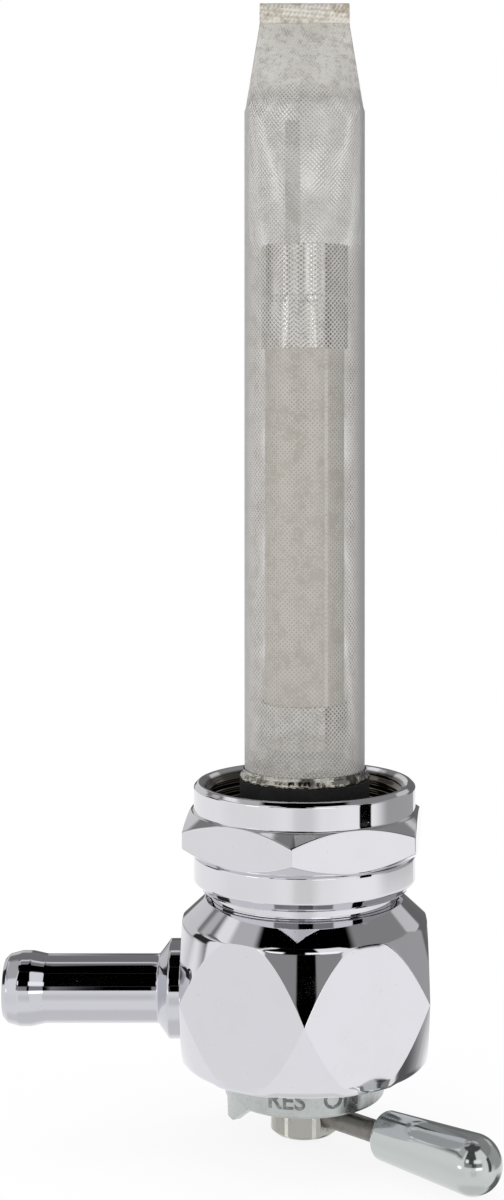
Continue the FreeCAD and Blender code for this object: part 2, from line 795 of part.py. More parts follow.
pieces = {
    "valve_body": valve_body(),
    "coupling_nut": coupling_nut(),
    "tank_gasket": tank_gasket(),
    "strainer_mesh": strainer_mesh(),
    "strainer_solder": strainer_solder(),
    "strainer_ferrule": strainer_ferrule(),
    "standpipe": standpipe(),
    "standpipe_tip": standpipe_tip(),
    "standpipe_socket": standpipe_socket(),
    "socket_washer": socket_washer(),
    "outlet_spigot": outlet_spigot(),
    "spigot_washer": spigot_washer(),
    "port_seal": port_seal(),
    "valve_rotor": valve_rotor(),
    "rotor_ring_upper": rotor_ring(upper_ring_level),
    "rotor_ring_lower": rotor_ring(lower_ring_level),
    "detent_ball": detent_ball(),
    "detent_spring": detent_spring(),
    "disc_spring": disc_spring(),
    "thrust_washer": thrust_washer(),
    "dial_collar": dial_collar(),
    "lever_rod": lever_rod(),
    "lever_knob": lever_knob(),
}

os.makedirs("parts", exist_ok=True)
for name, shape in pieces.items():
    shape.exportStep("parts/" + name + ".step")
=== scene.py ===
import json
import math

import bmesh
import bpy
import numpy as np
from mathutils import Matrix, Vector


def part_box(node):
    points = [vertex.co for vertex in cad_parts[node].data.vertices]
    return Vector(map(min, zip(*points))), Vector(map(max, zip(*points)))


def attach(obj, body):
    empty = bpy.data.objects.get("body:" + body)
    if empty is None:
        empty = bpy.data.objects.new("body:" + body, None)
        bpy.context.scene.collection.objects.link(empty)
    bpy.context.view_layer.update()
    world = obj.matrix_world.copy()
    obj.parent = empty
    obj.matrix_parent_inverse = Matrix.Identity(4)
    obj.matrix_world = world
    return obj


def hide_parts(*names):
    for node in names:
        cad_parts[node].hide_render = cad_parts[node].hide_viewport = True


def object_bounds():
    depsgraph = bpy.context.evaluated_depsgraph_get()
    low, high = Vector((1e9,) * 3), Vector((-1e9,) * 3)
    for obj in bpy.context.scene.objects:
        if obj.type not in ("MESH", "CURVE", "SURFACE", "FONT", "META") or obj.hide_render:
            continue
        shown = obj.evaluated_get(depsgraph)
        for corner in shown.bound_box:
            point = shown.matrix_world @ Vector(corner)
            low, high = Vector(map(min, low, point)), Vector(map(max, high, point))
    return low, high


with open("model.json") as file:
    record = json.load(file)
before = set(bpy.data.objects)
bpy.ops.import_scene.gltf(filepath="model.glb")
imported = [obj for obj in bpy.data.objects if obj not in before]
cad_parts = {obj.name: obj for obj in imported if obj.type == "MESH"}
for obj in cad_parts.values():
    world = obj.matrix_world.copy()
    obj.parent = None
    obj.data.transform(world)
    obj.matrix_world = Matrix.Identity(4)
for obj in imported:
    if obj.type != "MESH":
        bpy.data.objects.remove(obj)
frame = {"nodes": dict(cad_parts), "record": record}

bl_info = {
    "name": "Fuel Tap",
    "version": (1, 0, 0),
    "blender": (4, 5, 0),
    "location": "3D View > Sidebar > Fuel Tap",
    "description": "Finishes a motorcycle fuel tap: chrome, gauze strainer, dial marks, lever and studio",
    "category": "Add Mesh",
}

# Lengths are in metres. The tap's axis is Z, the nut's mouth is at Z = 0, the spigot
# points along -X, and a polar angle of -90 degrees faces the camera.
mm = 0.001
full_turn = 2 * math.pi
hexagon_side = math.pi / 3
cad_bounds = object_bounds()


def box_top(node):
    """Highest level of a CAD node."""
    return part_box(node)[1].z


def box_bottom(node):
    """Lowest level of a CAD node."""
    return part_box(node)[0].z


def box_middle(node):
    """Middle level of a CAD node."""
    return (box_bottom(node) + box_top(node)) / 2


def box_radius(node):
    """Largest distance of a turned CAD node from the tap's axis, along Y."""
    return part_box(node)[1].y


def number(name, description, default, **limits):
    """Property for a number, with its limits and its unit."""
    return bpy.props.FloatProperty(name=name, description=description, default=default, **limits)


def length(name, description, default, low=0.0):
    """Property for a size in metres."""
    return number(name, description, default, min=low, unit="LENGTH", precision=5)


def level(name, description, default):
    """Property for a height above or below the nut's mouth, in metres."""
    return number(name, description, default, unit="LENGTH", precision=5)


def colour(name, description, default):
    """Property for a linear RGB colour."""
    return bpy.props.FloatVectorProperty(
        name=name, description=description, default=default, min=0.0, max=1.0, size=3, subtype="COLOR",
    )


def angle(name, description, degrees):
    """Property for an angle, given in degrees and kept in radians."""
    return number(name, description, math.radians(degrees), subtype="ANGLE")


def share(name, description, default):
    """Property for a number between 0 and 1."""
    return number(name, description, default, min=0.0, max=1.0, subtype="FACTOR")


class TapNutSizes(bpy.types.PropertyGroup):
    """Sizes of the coupling nut."""
    bore_radius: length("Bore radius", "Radius of the threaded bore", 11.0 * mm)
    rim_radius: length("Rim radius", "Radius of the round rims over and under the hexagon", 12.35 * mm)
    hexagon_width: length("Hexagon width", "Across the flats", 25.4 * mm)
    hexagon_drop: length("Hexagon drop", "From the mouth down to the hexagon", 3.05 * mm)
    hexagon_height: length("Hexagon height", "Height of the hexagon", 4.5 * mm)
    hexagon_turn: angle("Hexagon turn", "Polar angle of one of the hexagon's corners", -95.4)
    chamfer_slope: angle("Chamfer slope", "Slope of the turned chamfer on the hexagon's corners", 35.0)
    rim_chamfer: length("Rim chamfer", "Chamfer on the rims' outer edges", 0.45 * mm)
    foot_chamfer: length("Foot chamfer", "Chamfer on the lower rim's lower edge", 1.0 * mm)
    mouth_chamfer: length("Mouth chamfer", "Chamfer at both ends of the bore", 0.5 * mm)
    undercut: length("Undercut", "Depth of the groove under the hexagon", 0.22 * mm)
    thread_depth: length("Thread depth", "Depth of the thread in the mouth", 0.5 * mm)
    thread_end: level("Thread end", "Level where the thread ends over the gasket", -4.4 * mm)
    thread_pitch: length("Thread pitch", "Rise of the thread in one turn", 1.0 * mm)
    corner_round: length("Corner round", "Radius on the hexagon's upright corners", 0.22 * mm)
    edge_round: length("Edge round", "Softness of every other edge", 0.13 * mm)


class TapBodySizes(bpy.types.PropertyGroup):
    """Sizes of the valve body."""
    hexagon_width: length("Hexagon width", "Across the flats", 27.1 * mm)
    seat_radius: length("Seat radius", "Radius of the strainer's seat on top", 6.27 * mm)
    neck_radius: length("Neck radius", "Radius of the threaded neck inside the nut", 10.94 * mm)
    neck_chamfer: length("Neck chamfer", "Chamfer at the ends of the neck", 0.4 * mm)
    relief_radius: length("Relief radius", "Radius of the groove under the neck", 10.3 * mm)
    relief_top: level("Relief top", "Level where the groove ends in the neck", -11.3 * mm)
    shoulder_radius: length("Shoulder radius", "Radius at the shoulder's top edge", 11.1 * mm)
    shoulder_top: level("Shoulder top", "Level of the shoulder's top edge", -12.8 * mm)
    ridge_radius: length("Ridge radius", "Radius where the shoulder meets the upper cone", 13.7 * mm)
    ridge_level: level("Ridge level", "Level of that ridge", -15.2 * mm)
    wide_level: level("Widest level", "Level where two flats meet in a point", -22.65 * mm)
    foot_radius: length("Foot radius", "Radius that the lower cone has at the underside", 13.6 * mm)
    ridge_round: length("Ridge round", "Easing of the ridge under the shoulder", 0.45 * mm)
    foot_round: length("Foot round", "Softness of the lower outer edge", 0.9 * mm)
    base_level: level("Base level", "Level of the underside", -30.9 * mm)
    boss_radius: length("Boss radius", "Radius of the boss that the dial sits on", 7.8 * mm)
    chamber_radius: length("Chamber radius", "Radius of the rotor's chamber", 6.4 * mm)
    ceiling: level("Ceiling", "Level of the chamber's ceiling", -17.2 * mm)
    corner_round: length("Corner round", "Radius where two flats meet", 0.12 * mm)
    edge_round: length("Edge round", "Softness of the milled edges", 0.11 * mm)


class TapSpigotSizes(bpy.types.PropertyGroup):
    """Sizes of the hose spigot."""
    radius: length("Radius", "Radius of the shank", 3.735 * mm)
    bore_radius: length("Bore radius", "Radius of the bore", 2.4 * mm)
    bead_radius: length("Bead radius", "Radius of the bead that holds the hose", 4.08 * mm)
    bead_start: length("Bead start", "From the end back to the foot of the bead", 4.7 * mm)
    bead_slope: length("Bead slope", "Length of the bead's slope", 1.6 * mm)
    bead_land: length("Bead land", "Length of the bead's cylindrical top", 1.2 * mm)
    end_chamfer: length("End chamfer", "Chamfer at the end", 0.55 * mm)
    flange_rim: length("Flange rim", "Thickness of the flange on the body's flat", 1.4 * mm)
    flange_cone: length("Flange cone", "Length of the cone behind the flange", 1.25 * mm)
    edge_round: length("Edge round", "Softness of the edges", 0.16 * mm)


class TapKnobSizes(bpy.types.PropertyGroup):
    """Sizes of the lever's knob and rod."""
    lever_angle: angle("Lever angle", "Polar angle of the lever", -43.0)
    start: length("Start", "From the tap's axis to the knob's foot", 11.6 * mm)
    end: length("End", "From the tap's axis to the knob's tip", 26.9 * mm)
    face_radius: length("Face radius", "Radius of the flat face at the foot", 1.95 * mm)
    foot_radius: length("Foot radius", "Radius after the foot's round shoulder", 2.65 * mm)
    dome_radius: length("Dome radius", "Radius of the ball end", 3.15 * mm)
    shoulder: length("Shoulder", "Length of the foot's round shoulder", 0.7 * mm)
    hole_radius: length("Hole radius", "Radius of the hole for the rod", 1.23 * mm)
    hole_depth: length("Hole depth", "Depth of the hole for the rod", 4.5 * mm)


class TapStrainerSizes(bpy.types.PropertyGroup):
    """Sizes of the gauze strainer."""
    radius: length("Radius", "Radius of the round tube", 6.7 * mm)
    shoulder: level("Shoulder", "Level where the tube starts to be pinched", 74.5 * mm)
    flat_level: level("Flat level", "Level where the soldered band starts", 84.0 * mm)
    flat_width: length("Flat width", "Width of the flat end", 10.0 * mm)
    flat_thickness: length("Flat thickness", "Thickness of the flat end", 1.5 * mm)
    gusset_depth: length("Gusset depth", "How far the folds come in from the flat end's edges", 4.6 * mm)
    corner_angle: angle("Corner angle", "Place on the round tube of the flat end's corners", 12.0)
    wire_pitch: length("Wire pitch", "Distance between neighbouring wires", 0.36 * mm, 0.05 * mm)
    wire_share: share("Wire share", "Part of the pitch that the wire fills", 0.30)
    haze: share("Haze", "How much the openings hide, for wires too fine to be drawn", 0.21)
    lap_start: angle("Lap start", "Where the lapped seam starts at the back", 94.5)
    lap_end: angle("Lap end", "Where the lapped seam ends", 110.0)
    lap_gap: length("Lap gap", "How far the inner lap lies inside the tube", 0.12 * mm)
    band_lumps: length("Band lumps", "Unevenness of the soldered band", 0.12 * mm)
    skirt_height: length("Skirt height", "Height of the foot ring's skirt", 0.35 * mm)
    neck_wall: length("Neck wall", "Wall of the foot ring's neck", 0.10 * mm)
    crimp: length("Crimp", "How far the foot ring is pressed in", 0.22 * mm)


class TapDialMarks(bpy.types.PropertyGroup):
    """Position marks on the dial."""
    letter_height: length("Letter height", "Height of the capital letters", 1.9 * mm)
    middle_level: level("Middle level", "Level of the letters' middle", -32.75 * mm)
    letter_depth: length("Letter depth", "Half the thickness of the letters", 0.03 * mm)
    # The marks' letters are dark all over: painted shade of the floors of engraved letters.
    proud: length("Proud", "How far the filled letters stand proud of the dial", 0.015 * mm)
    cone_radius: length("Cone radius", "Radius of the dial's cone at its lower edge", 8.85 * mm)
    cone_bottom: level("Cone bottom", "Level of the cone's lower edge", -34.65 * mm)
    reserve_angle: angle("Reserve angle", "Polar angle of the reserve mark", -103.0)
    open_angle: angle("Open angle", "Polar angle of the open mark", -63.0)
    closed_angle: angle("Closed angle", "Polar angle of the closed mark", 17.0)


class TapColours(bpy.types.PropertyGroup):
    """Colours of the finishes."""
    body_chrome: colour("Body chrome", "Plating of the body", (0.70, 0.695, 0.735))
    nut_chrome: colour("Nut chrome", "Plating of the nut", (0.71, 0.705, 0.74))
    spigot_chrome: colour("Spigot chrome", "Plating of the spigot", (0.60, 0.60, 0.645))
    knob_chrome: colour("Knob chrome", "Plating of the knob", (0.54, 0.57, 0.565))
    gauze: colour("Gauze", "Wire of the strainer", (0.755, 0.735, 0.70))
    solder: colour("Solder", "Soldered band", (0.76, 0.73, 0.66))
    ferrule: colour("Ferrule", "Pressed ring at the gauze's foot", (0.50, 0.48, 0.43))
    brass: colour("Brass", "Standpipe", (0.76, 0.70, 0.61))
    nickel: colour("Nickel", "Standpipe's tip and socket", (0.78, 0.76, 0.74))
    stem: colour("Stem", "Turned stem", (0.38, 0.37, 0.34))
    rod: colour("Rod", "Lever's rod", (0.22, 0.21, 0.195))
    satin: colour("Satin", "Satin plating of the dial", (0.50, 0.525, 0.52))
    spring: colour("Spring", "Hardened steel", (0.46, 0.46, 0.48))
    rubber: colour("Rubber", "Seals and gasket", (0.006, 0.006, 0.006))
    fibre: colour("Fibre", "Fibre washers", (0.40, 0.16, 0.09))
    mark_fill: colour("Mark fill", "Shaded floor of the dial's marks", (0.16, 0.165, 0.165))
    floor: colour("Floor", "Studio floor", (0.93, 0.93, 0.93))


class TapStudio(bpy.types.PropertyGroup):
    """Camera, lamps and surround."""
    camera_right: level("Camera right", "Camera's place to the right of the tap's axis", 0.38 * mm)
    camera_back: length("Camera back", "Distance from the camera to the tap's axis", 219.3 * mm)
    camera_height: level("Camera height", "Camera's height over the nut's mouth", 42.86 * mm)
    camera_pitch: angle("Camera pitch", "How far the camera looks down", 0.36)
    focal_length: number(
        "Focal length", "Lens for a 36 mm long side of the picture", 59.07, min=1.0, unit="CAMERA",
    )
    shift_right: number("Shift right", "Sideways shift of the lens, as a share of the long side", -0.0467)
    shift_up: number("Shift up", "Upward shift of the lens, as a share of the long side", -0.1594)
    lamp_power: number("Lamp power", "Power of each softbox", 1.0, min=0.0, unit="POWER")
    second_fill: share("Second fill", "Brightness of the front opening in a second reflection", 0.65)
    sky_level: number("Sky level", "Strength of the white surround on matt surfaces", 0.80, min=0.0)


# outlines and surfaces


def eased_outline(corners, easing, steps=5, joined=False):
    """Outline through (radius, level) corners, one for each column of a surface. Each corner gives way
    to a parabola that leaves one side and joins the next one a length of easing away from the corner,
    and at most two fifths of the shorter side. Each straight side keeps three points of its own, two
    of them close to its ends, so that its shading stays straight."""
    corners = np.asarray(corners, float)
    count = corners.shape[-2]
    before = np.roll(corners, 1, axis=-2) - corners
    after = np.roll(corners, -1, axis=-2) - corners
    length_before = np.linalg.norm(before, axis=-1, keepdims=True)
    length_after = np.linalg.norm(after, axis=-1, keepdims=True)
    reach = np.broadcast_to(np.asarray(easing, float), (count,))[:, None]
    longest = 0.4 * np.minimum(length_before, length_after)
    reach = np.minimum(reach, longest)
    arc_start = corners + before / length_before * reach
    arc_end = corners + after / length_after * reach
    along = np.linspace(0, 1, steps)[:, None]
    between = np.array([0.06, 0.5, 0.94])[:, None]
    rows = []
    for here in range(count):
        corner = corners[..., here, None, :]
        side_start = corner
        if joined or 0 < here < count - 1:
            start = arc_start[..., here, None, :]
            side_start = arc_end[..., here, None, :]
            arc = (1 - along) ** 2 * start + 2 * along * (1 - along) * corner + along ** 2 * side_start
            rows.append(arc)
        else:
            rows.append(corner)
        if here == count - 1 and not joined:
            break
        following = (here + 1) % count
        last_side = not joined and following == count - 1
        side_end = (corners if last_side else arc_start)[..., following, None, :]
        rows.append(side_start + (side_end - side_start) * between)
    return np.concatenate(rows, axis=-2)


def corner_columns(turns, corners):
    """Corners of an outline for each column of a surface. The radius and the level of a corner are one
    number each, or one number for each column."""
    pairs = [np.broadcast_arrays(radius, height, turns)[:2] for radius, height in corners]
    return np.array(pairs, float).transpose(2, 0, 1)


def turned_points(outline, turns):
    """Grid of points: each (radius, level) of the outline turned about Z to each angle in turns.
    x is the radius times the cosine of the turn, y the radius times its sine, z the level."""
    outline = np.broadcast_to(outline, (len(turns),) + outline.shape[-2:])
    radius = outline[..., 0].T
    height = outline[..., 1].T
    return np.stack([radius * np.cos(turns), radius * np.sin(turns), height], axis=-1)


def even_turns(columns):
    """Angles of evenly spaced columns round the axis."""
    return np.arange(columns) * full_turn / columns


def hexagon_columns(width, corner_round, first_corner):
    """Angles of the columns of a hexagonal piece, seven on each corner's round and 25 on each flat, and
    its distance from the axis there. On a flat that is half the width divided by the cosine of the
    angle from the flat's middle, and on a corner it is the far side of a small circle whose middle
    stands on the corner's diagonal."""
    half_side = hexagon_side / 2
    middle = (width / 2 - corner_round) / math.cos(half_side)
    across = corner_round * math.sin(half_side)
    tangent = math.atan2(across, middle + corner_round * math.cos(half_side))
    flat_start = 1.5 * tangent
    corner = np.linspace(-tangent, tangent, 7)
    flat = np.linspace(flat_start, hexagon_side - flat_start, 25)
    sides = hexagon_side * np.arange(6)[:, None]
    turns = (first_corner + sides + np.concatenate([corner, flat])).ravel()
    from_middle = np.mod(turns - first_corner, hexagon_side) - half_side
    from_corner = half_side - np.abs(from_middle)
    inside = np.maximum(corner_round ** 2 - (middle * np.sin(from_corner)) ** 2, 0)
    rounded = middle * np.cos(from_corner) + np.sqrt(inside)
    return turns, np.where(from_corner < tangent, rounded, width / 2 / np.cos(from_middle))


def laid_along(points, turn, height):
    """Points of a piece turned about Z, laid down so that its axis points out at a polar angle.
    The old level becomes the distance from the tap's axis and the old x the height, upside down."""
    out = points[..., 2]
    across = points[..., 1]
    up = -points[..., 0] + height
    x = out * math.cos(turn) - across * math.sin(turn)
    y = out * math.sin(turn) + across * math.cos(turn)
    return np.stack([x, y, up], axis=-1)


def new_object(name, data):
    """New object in the scene."""
    piece = bpy.data.objects.new(name, data)
    bpy.context.scene.collection.objects.link(piece)
    return piece


def surface(name, points, ends="open", closed_around=True, flow=False):
    """Mesh object from a grid of points, rows by columns. Each quad joins a point to its neighbours in
    the next row and the next column. The ends are left open, joined into a ring, or closed by letting
    the first and the last row shrink to one point each. A closed shell whose signed volume comes out
    negative is turned the right way out. With flow, the UV map holds the turn round the axis as u,
    from 0 to 1, and the height in metres as v."""
    rows, columns = points.shape[:2]
    index = np.arange(rows * columns).reshape(rows, columns)
    if ends == "poles":
        index[0] = index[0, 0]
        index[-1] = index[-1, 0]
    row_count = rows if ends == "joined" else rows - 1
    column_count = columns if closed_around else columns - 1
    row, column = np.meshgrid(np.arange(row_count), np.arange(column_count), indexing="ij")
    face_rows = np.stack([row, row + 1, row + 1, row], axis=-1).reshape(-1, 4)
    face_columns = np.stack([column, column, column + 1, column + 1], axis=-1).reshape(-1, 4)
    quads = index[face_rows % rows, face_columns % columns]
    upper_pole = quads[:, 0] == quads[:, 3]
    lower_pole = quads[:, 1] == quads[:, 2]
    triangles = np.concatenate([quads[upper_pole][:, :3], quads[lower_pole][:, [0, 1, 3]]])
    quads = quads[~(upper_pole | lower_pole)]
    used, renumbered = np.unique(np.concatenate([quads.ravel(), triangles.ravel()]), return_inverse=True)
    quads, triangles = np.split(renumbered.ravel(), [quads.size])
    quads, triangles = quads.reshape(-1, 4), triangles.reshape(-1, 3)
    vertices = points.reshape(-1, 3)[used]
    corners = np.concatenate([quads[:, :3], quads[:, [0, 2, 3]], triangles])
    first, second, third = (vertices[corners[:, corner]] for corner in range(3))
    if ends != "open" and np.einsum("ij,ij->i", first, np.cross(second, third)).sum() < 0:
        quads, triangles = quads[:, ::-1], triangles[:, ::-1]
    mesh = bpy.data.meshes.new(name)
    mesh.from_pydata(vertices.tolist(), [], quads.tolist() + triangles.tolist())
    mesh.polygons.foreach_set("use_smooth", np.ones(len(mesh.polygons), bool))
    if flow:
        heights = points[..., 2][face_rows % rows, face_columns % columns]
        flow_map = np.stack([face_columns / columns, heights], axis=-1)
        mesh.uv_layers.new(name="UVMap").data.foreach_set("uv", flow_map.astype(np.float32).ravel())
    mesh.update()
    return new_object(name, mesh)


def smooth_copy(node, edge_round):
    """Copy of a CAD node with its triangles joined, its round faces shaded round and its sharp edges
    softened."""
    same_point = 0.002 * mm
    sharp_angle = math.radians(24)
    bevel_angle = math.radians(30)
    mesh = frame["nodes"][node].data.copy()
    mesh.name = "finished_" + node
    work = bmesh.new()
    work.from_mesh(mesh)
    bmesh.ops.remove_doubles(work, verts=work.verts, dist=same_point)
    work.to_mesh(mesh)
    work.free()
    mesh.polygons.foreach_set("use_smooth", np.ones(len(mesh.polygons), bool))
    mesh.set_sharp_from_angle(angle=sharp_angle)
    piece = new_object("finished_" + node, mesh)
    if edge_round > 0:
        bevel = piece.modifiers.new("Soft edges", "BEVEL")
        bevel.width = edge_round
        bevel.segments = 2
        bevel.limit_method = "ANGLE"
        bevel.angle_limit = bevel_angle
        bevel.use_clamp_overlap = True
        bevel.harden_normals = True
    return piece


def place(piece, body, slot, *nodes, fill=None):
    """Give a finished piece its material, which is the slot's own or another finish such as the painted
    shade of the dial's marks, and its body, and hide the CAD nodes that it stands for."""
    piece.data.materials.clear()
    piece.data.materials.append(finish(fill or slot))
    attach(piece, body)
    if nodes:
        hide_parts(*nodes)


# shader node groups


def connect(tree, source, target):
    """Join an output socket to an input socket, or set the input's value."""
    if isinstance(source, bpy.types.NodeSocket):
        tree.links.new(source, target)
    else:
        target.default_value = source


def new_group(name, inputs, outputs):
    """Empty shader node group, with the sockets that hand it its values and those that take its results.
    The inputs map each label to its default, and a default with four parts makes a colour. Among the
    outputs only the one called Colour is a colour."""
    group = bpy.data.node_groups.new(name, "ShaderNodeTree")
    for label, default in inputs.items():
        kind = "NodeSocketColor" if isinstance(default, tuple) else "NodeSocketFloat"
        socket = group.interface.new_socket(name=label, in_out="INPUT", socket_type=kind)
        socket.default_value = default
    for label in outputs:
        kind = "NodeSocketColor" if label == "Colour" else "NodeSocketFloat"
        group.interface.new_socket(name=label, in_out="OUTPUT", socket_type=kind)
    given = group.nodes.new("NodeGroupInput").outputs
    return group, given, group.nodes.new("NodeGroupOutput").inputs


def maths(tree, operation, first, second=None, third=None, clamp=False):
    """Math node on one to three values."""
    node = tree.nodes.new("ShaderNodeMath")
    node.operation = operation
    node.use_clamp = clamp
    for socket, value in zip(node.inputs, (first, second, third)):
        if value is not None:
            connect(tree, value, socket)
    return node.outputs[0]


def times(tree, first, second):
    """Product of two values."""
    return maths(tree, "MULTIPLY", first, second)


def times_plus(tree, first, second, third):
    """Product of the first two values, with the third one added."""
    return maths(tree, "MULTIPLY_ADD", first, second, third)


def distance(tree, first, second):
    """Root of the sum of two squares."""
    return maths(tree, "SQRT", times_plus(tree, second, second, times(tree, first, first)))


def noise(tree, vector, scale, detail, roughness):
    """Noise value between about 0.3 and 0.7 at places of a vector."""
    node = tree.nodes.new("ShaderNodeTexNoise")
    connect(tree, vector, node.inputs["Vector"])
    connect(tree, scale, node.inputs["Scale"])
    node.inputs["Detail"].default_value = detail
    node.inputs["Roughness"].default_value = roughness
    return node.outputs["Fac"]


def mapped(tree, value, old_range, new_range):
    """Value carried from one range to another and held inside it, with soft ends."""
    node = tree.nodes.new("ShaderNodeMapRange")
    node.interpolation_type = "SMOOTHSTEP"
    for socket, part in zip(node.inputs[:5], (value, *old_range, *new_range)):
        connect(tree, part, socket)
    return node.outputs[0]


def mixed(tree, factor, first, second):
    """Colour between two colours."""
    node = tree.nodes.new("ShaderNodeMix")
    node.data_type = "RGBA"
    connect(tree, factor, node.inputs["Factor"])
    connect(tree, first, node.inputs[6])
    connect(tree, second, node.inputs[7])
    return node.outputs[2]


def object_place(tree):
    """Place on the piece, in its own coordinates."""
    return tree.nodes.new("ShaderNodeTexCoord").outputs["Object"]


def parts_of(tree, vector):
    """The three parts of a vector, in order or under the labels X, Y and Z."""
    split = tree.nodes.new("ShaderNodeSeparateXYZ")
    connect(tree, vector, split.inputs[0])
    return split.outputs


def plating_group():
    """Bright plating: faint waves from polishing, handling smears that dull it, and tiny pits."""
    group, given, result = new_group(
        "Plating",
        {"Colour": (0.7, 0.7, 0.7, 1), "Gloss": 0.03, "Smears": 0.05, "Waves": 1.0},
        ("Colour", "Roughness", "Height"),
    )
    smear_colour, smear_share = (0.60, 0.57, 0.52, 1), 0.12
    pit_colour, pit_share = (0.25, 0.24, 0.22, 1), 0.25
    pit_roughness, pit_depth = 0.2, 0.04
    place_on = object_place(group)
    smear = noise(group, place_on, scale=190.0, detail=4.0, roughness=0.6)
    smear = mapped(group, smear, (0.45, 0.75), (0.0, 1.0))
    pit = noise(group, place_on, scale=2600.0, detail=2.0, roughness=0.5)
    pit = mapped(group, pit, (0.70, 0.80), (0.0, 1.0))
    wave = noise(group, place_on, scale=95.0, detail=1.0, roughness=0.4)
    rough = times_plus(group, smear, given["Smears"], given["Gloss"])
    rough = times_plus(group, pit, pit_roughness, rough)
    seen = mixed(group, times(group, smear, smear_share), given["Colour"], smear_colour)
    seen = mixed(group, times(group, pit, pit_share), seen, pit_colour)
    height = times(group, wave, given["Waves"])
    connect(group, seen, result["Colour"])
    connect(group, rough, result["Roughness"])
    connect(group, times_plus(group, pit, -pit_depth, height), result["Height"])


def grain_group():
    """Fine grain for cast, pressed or brushed surfaces: two sizes of noise mixed into a colour."""
    group, given, result = new_group(
        "Grain",
        {
            "Colour": (0.5, 0.5, 0.5, 1), "Stain": (0.2, 0.2, 0.2, 1), "Scale": 900.0,
            "Stain Share": 0.3, "Roughness": 0.4, "Spread": 0.15,
        },
        ("Colour", "Roughness", "Height"),
    )
    broad_part = 0.18
    place_on = object_place(group)
    fine = noise(group, place_on, given["Scale"], detail=4.0, roughness=0.6)
    broad_scale = times(group, given["Scale"], broad_part)
    broad = noise(group, place_on, broad_scale, detail=3.0, roughness=0.55)
    stain = mapped(group, maths(group, "ADD", fine, broad), (0.92, 1.22), (0.0, 1.0))
    stain = times(group, stain, given["Stain Share"])
    centred = maths(group, "SUBTRACT", fine, 0.5)
    connect(group, mixed(group, stain, given["Colour"], given["Stain"]), result["Colour"])
    connect(group, times_plus(group, centred, given["Spread"], given["Roughness"]), result["Roughness"])
    connect(group, fine, result["Height"])


def turning_group():
    """Fine rings that a lathe leaves round the tap's axis: a sine of the height, shaken by noise that
    changes quickly along the axis and slowly round it."""
    group, given, result = new_group("Turning Rings", {"Spacing": 0.0002, "Shake": 1.0}, ("Height",))
    noise_per_metre = (30.0, 30.0, 4000.0)
    place_on = object_place(group)
    turns = maths(group, "DIVIDE", parts_of(group, place_on)["Z"], given["Spacing"])
    stretch = group.nodes.new("ShaderNodeVectorMath")
    stretch.operation = "MULTIPLY"
    connect(group, place_on, stretch.inputs[0])
    stretch.inputs[1].default_value = noise_per_metre
    shake = noise(group, stretch.outputs[0], scale=1.0, detail=2.0, roughness=0.5)
    shaken = times_plus(group, shake, given["Shake"], turns)
    wave = maths(group, "SINE", times(group, shaken, full_turn))
    connect(group, maths(group, "ADD", wave, shake), result["Height"])


def weave_group():
    """Plain weave of round wires that run at 45 degrees to the tube. The UV map's turn and height,
    added and subtracted, count the wires of the two directions. A wire covers its share of each
    count, and its height is highest in its middle."""
    group, given, result = new_group(
        "Woven Wire",
        {"Wires Around": 85.0, "Wires per Metre": 2000.0, "Wire Share": 0.5},
        ("Mask", "Height", "Crossing"),
    )
    sway_width = 0.7
    solid_part = 0.8
    flow = group.nodes.new("ShaderNodeUVMap")
    flow.uv_map = "UVMap"
    turn, height = parts_of(group, flow.outputs[0])[:2]
    sway = noise(group, object_place(group), scale=140.0, detail=2.0, roughness=0.5)
    sway = times_plus(group, sway, sway_width, -sway_width / 2)
    around = times(group, turn, given["Wires Around"])
    along = times_plus(group, height, given["Wires per Metre"], sway)
    half_share = times(group, given["Wire Share"], 0.5)
    masks, heights = [], []
    for operation in ("ADD", "SUBTRACT"):
        count = maths(group, operation, around, along)
        from_middle = maths(group, "PINGPONG", count, 0.5)
        solid = times(group, half_share, solid_part)
        masks.append(mapped(group, from_middle, (solid, half_share), (1.0, 0.0)))
        portion = maths(group, "DIVIDE", from_middle, half_share, clamp=True)
        heights.append(maths(group, "SUBTRACT", 1.0, times(group, portion, portion)))
    connect(group, maths(group, "MAXIMUM", *masks), result["Mask"])
    connect(group, maths(group, "MAXIMUM", *heights), result["Height"])
    connect(group, times(group, *masks), result["Crossing"])


# materials


def tint_of(key):
    """One of the colours of the finishes."""
    return tuple(getattr(bpy.context.scene.tap_colours, key))


def blank_material(name, metallic, tint):
    """New material with a plain colour for the viewport: its node tree and its shader's inputs."""
    material = bpy.data.materials.new(name)
    material.use_nodes = True
    material.diffuse_color = (*tint, 1)
    inputs = material.node_tree.nodes["Principled BSDF"].inputs
    inputs["Metallic"].default_value = metallic
    return material.node_tree, inputs


def add_group(tree, name, **values):
    """Put a node group into a material with its own values, and give its outputs."""
    node = tree.nodes.new("ShaderNodeGroup")
    node.node_tree = bpy.data.node_groups[name]
    for label, value in values.items():
        node.inputs[label.replace("_", " ")].default_value = value
    return node.outputs


def cover(tree, shader, colour_seen, roughness, height, relief):
    """Feed a colour, a roughness, and a height with its relief in metres into the shader."""
    bump = tree.nodes.new("ShaderNodeBump")
    bump.inputs["Distance"].default_value = relief
    connect(tree, height, bump.inputs["Height"])
    connect(tree, bump.outputs[0], shader["Normal"])
    connect(tree, colour_seen, shader["Base Color"])
    connect(tree, roughness, shader["Roughness"])


def painted_bore_shade(tree, colour_seen, first, second, radius, amount=1.0):
    """Darken the colour inside a radius, the root of the sum of two squared distances: painted shade inside a
    bore.
    """
    bore_shade_colour = (0.10, 0.09, 0.075, 1)
    fade = 0.25 * mm
    bore_shade = mapped(tree, distance(tree, first, second), (radius, radius + fade), (1.0, 0.0))
    return mixed(tree, times(tree, bore_shade, amount), colour_seen, bore_shade_colour)


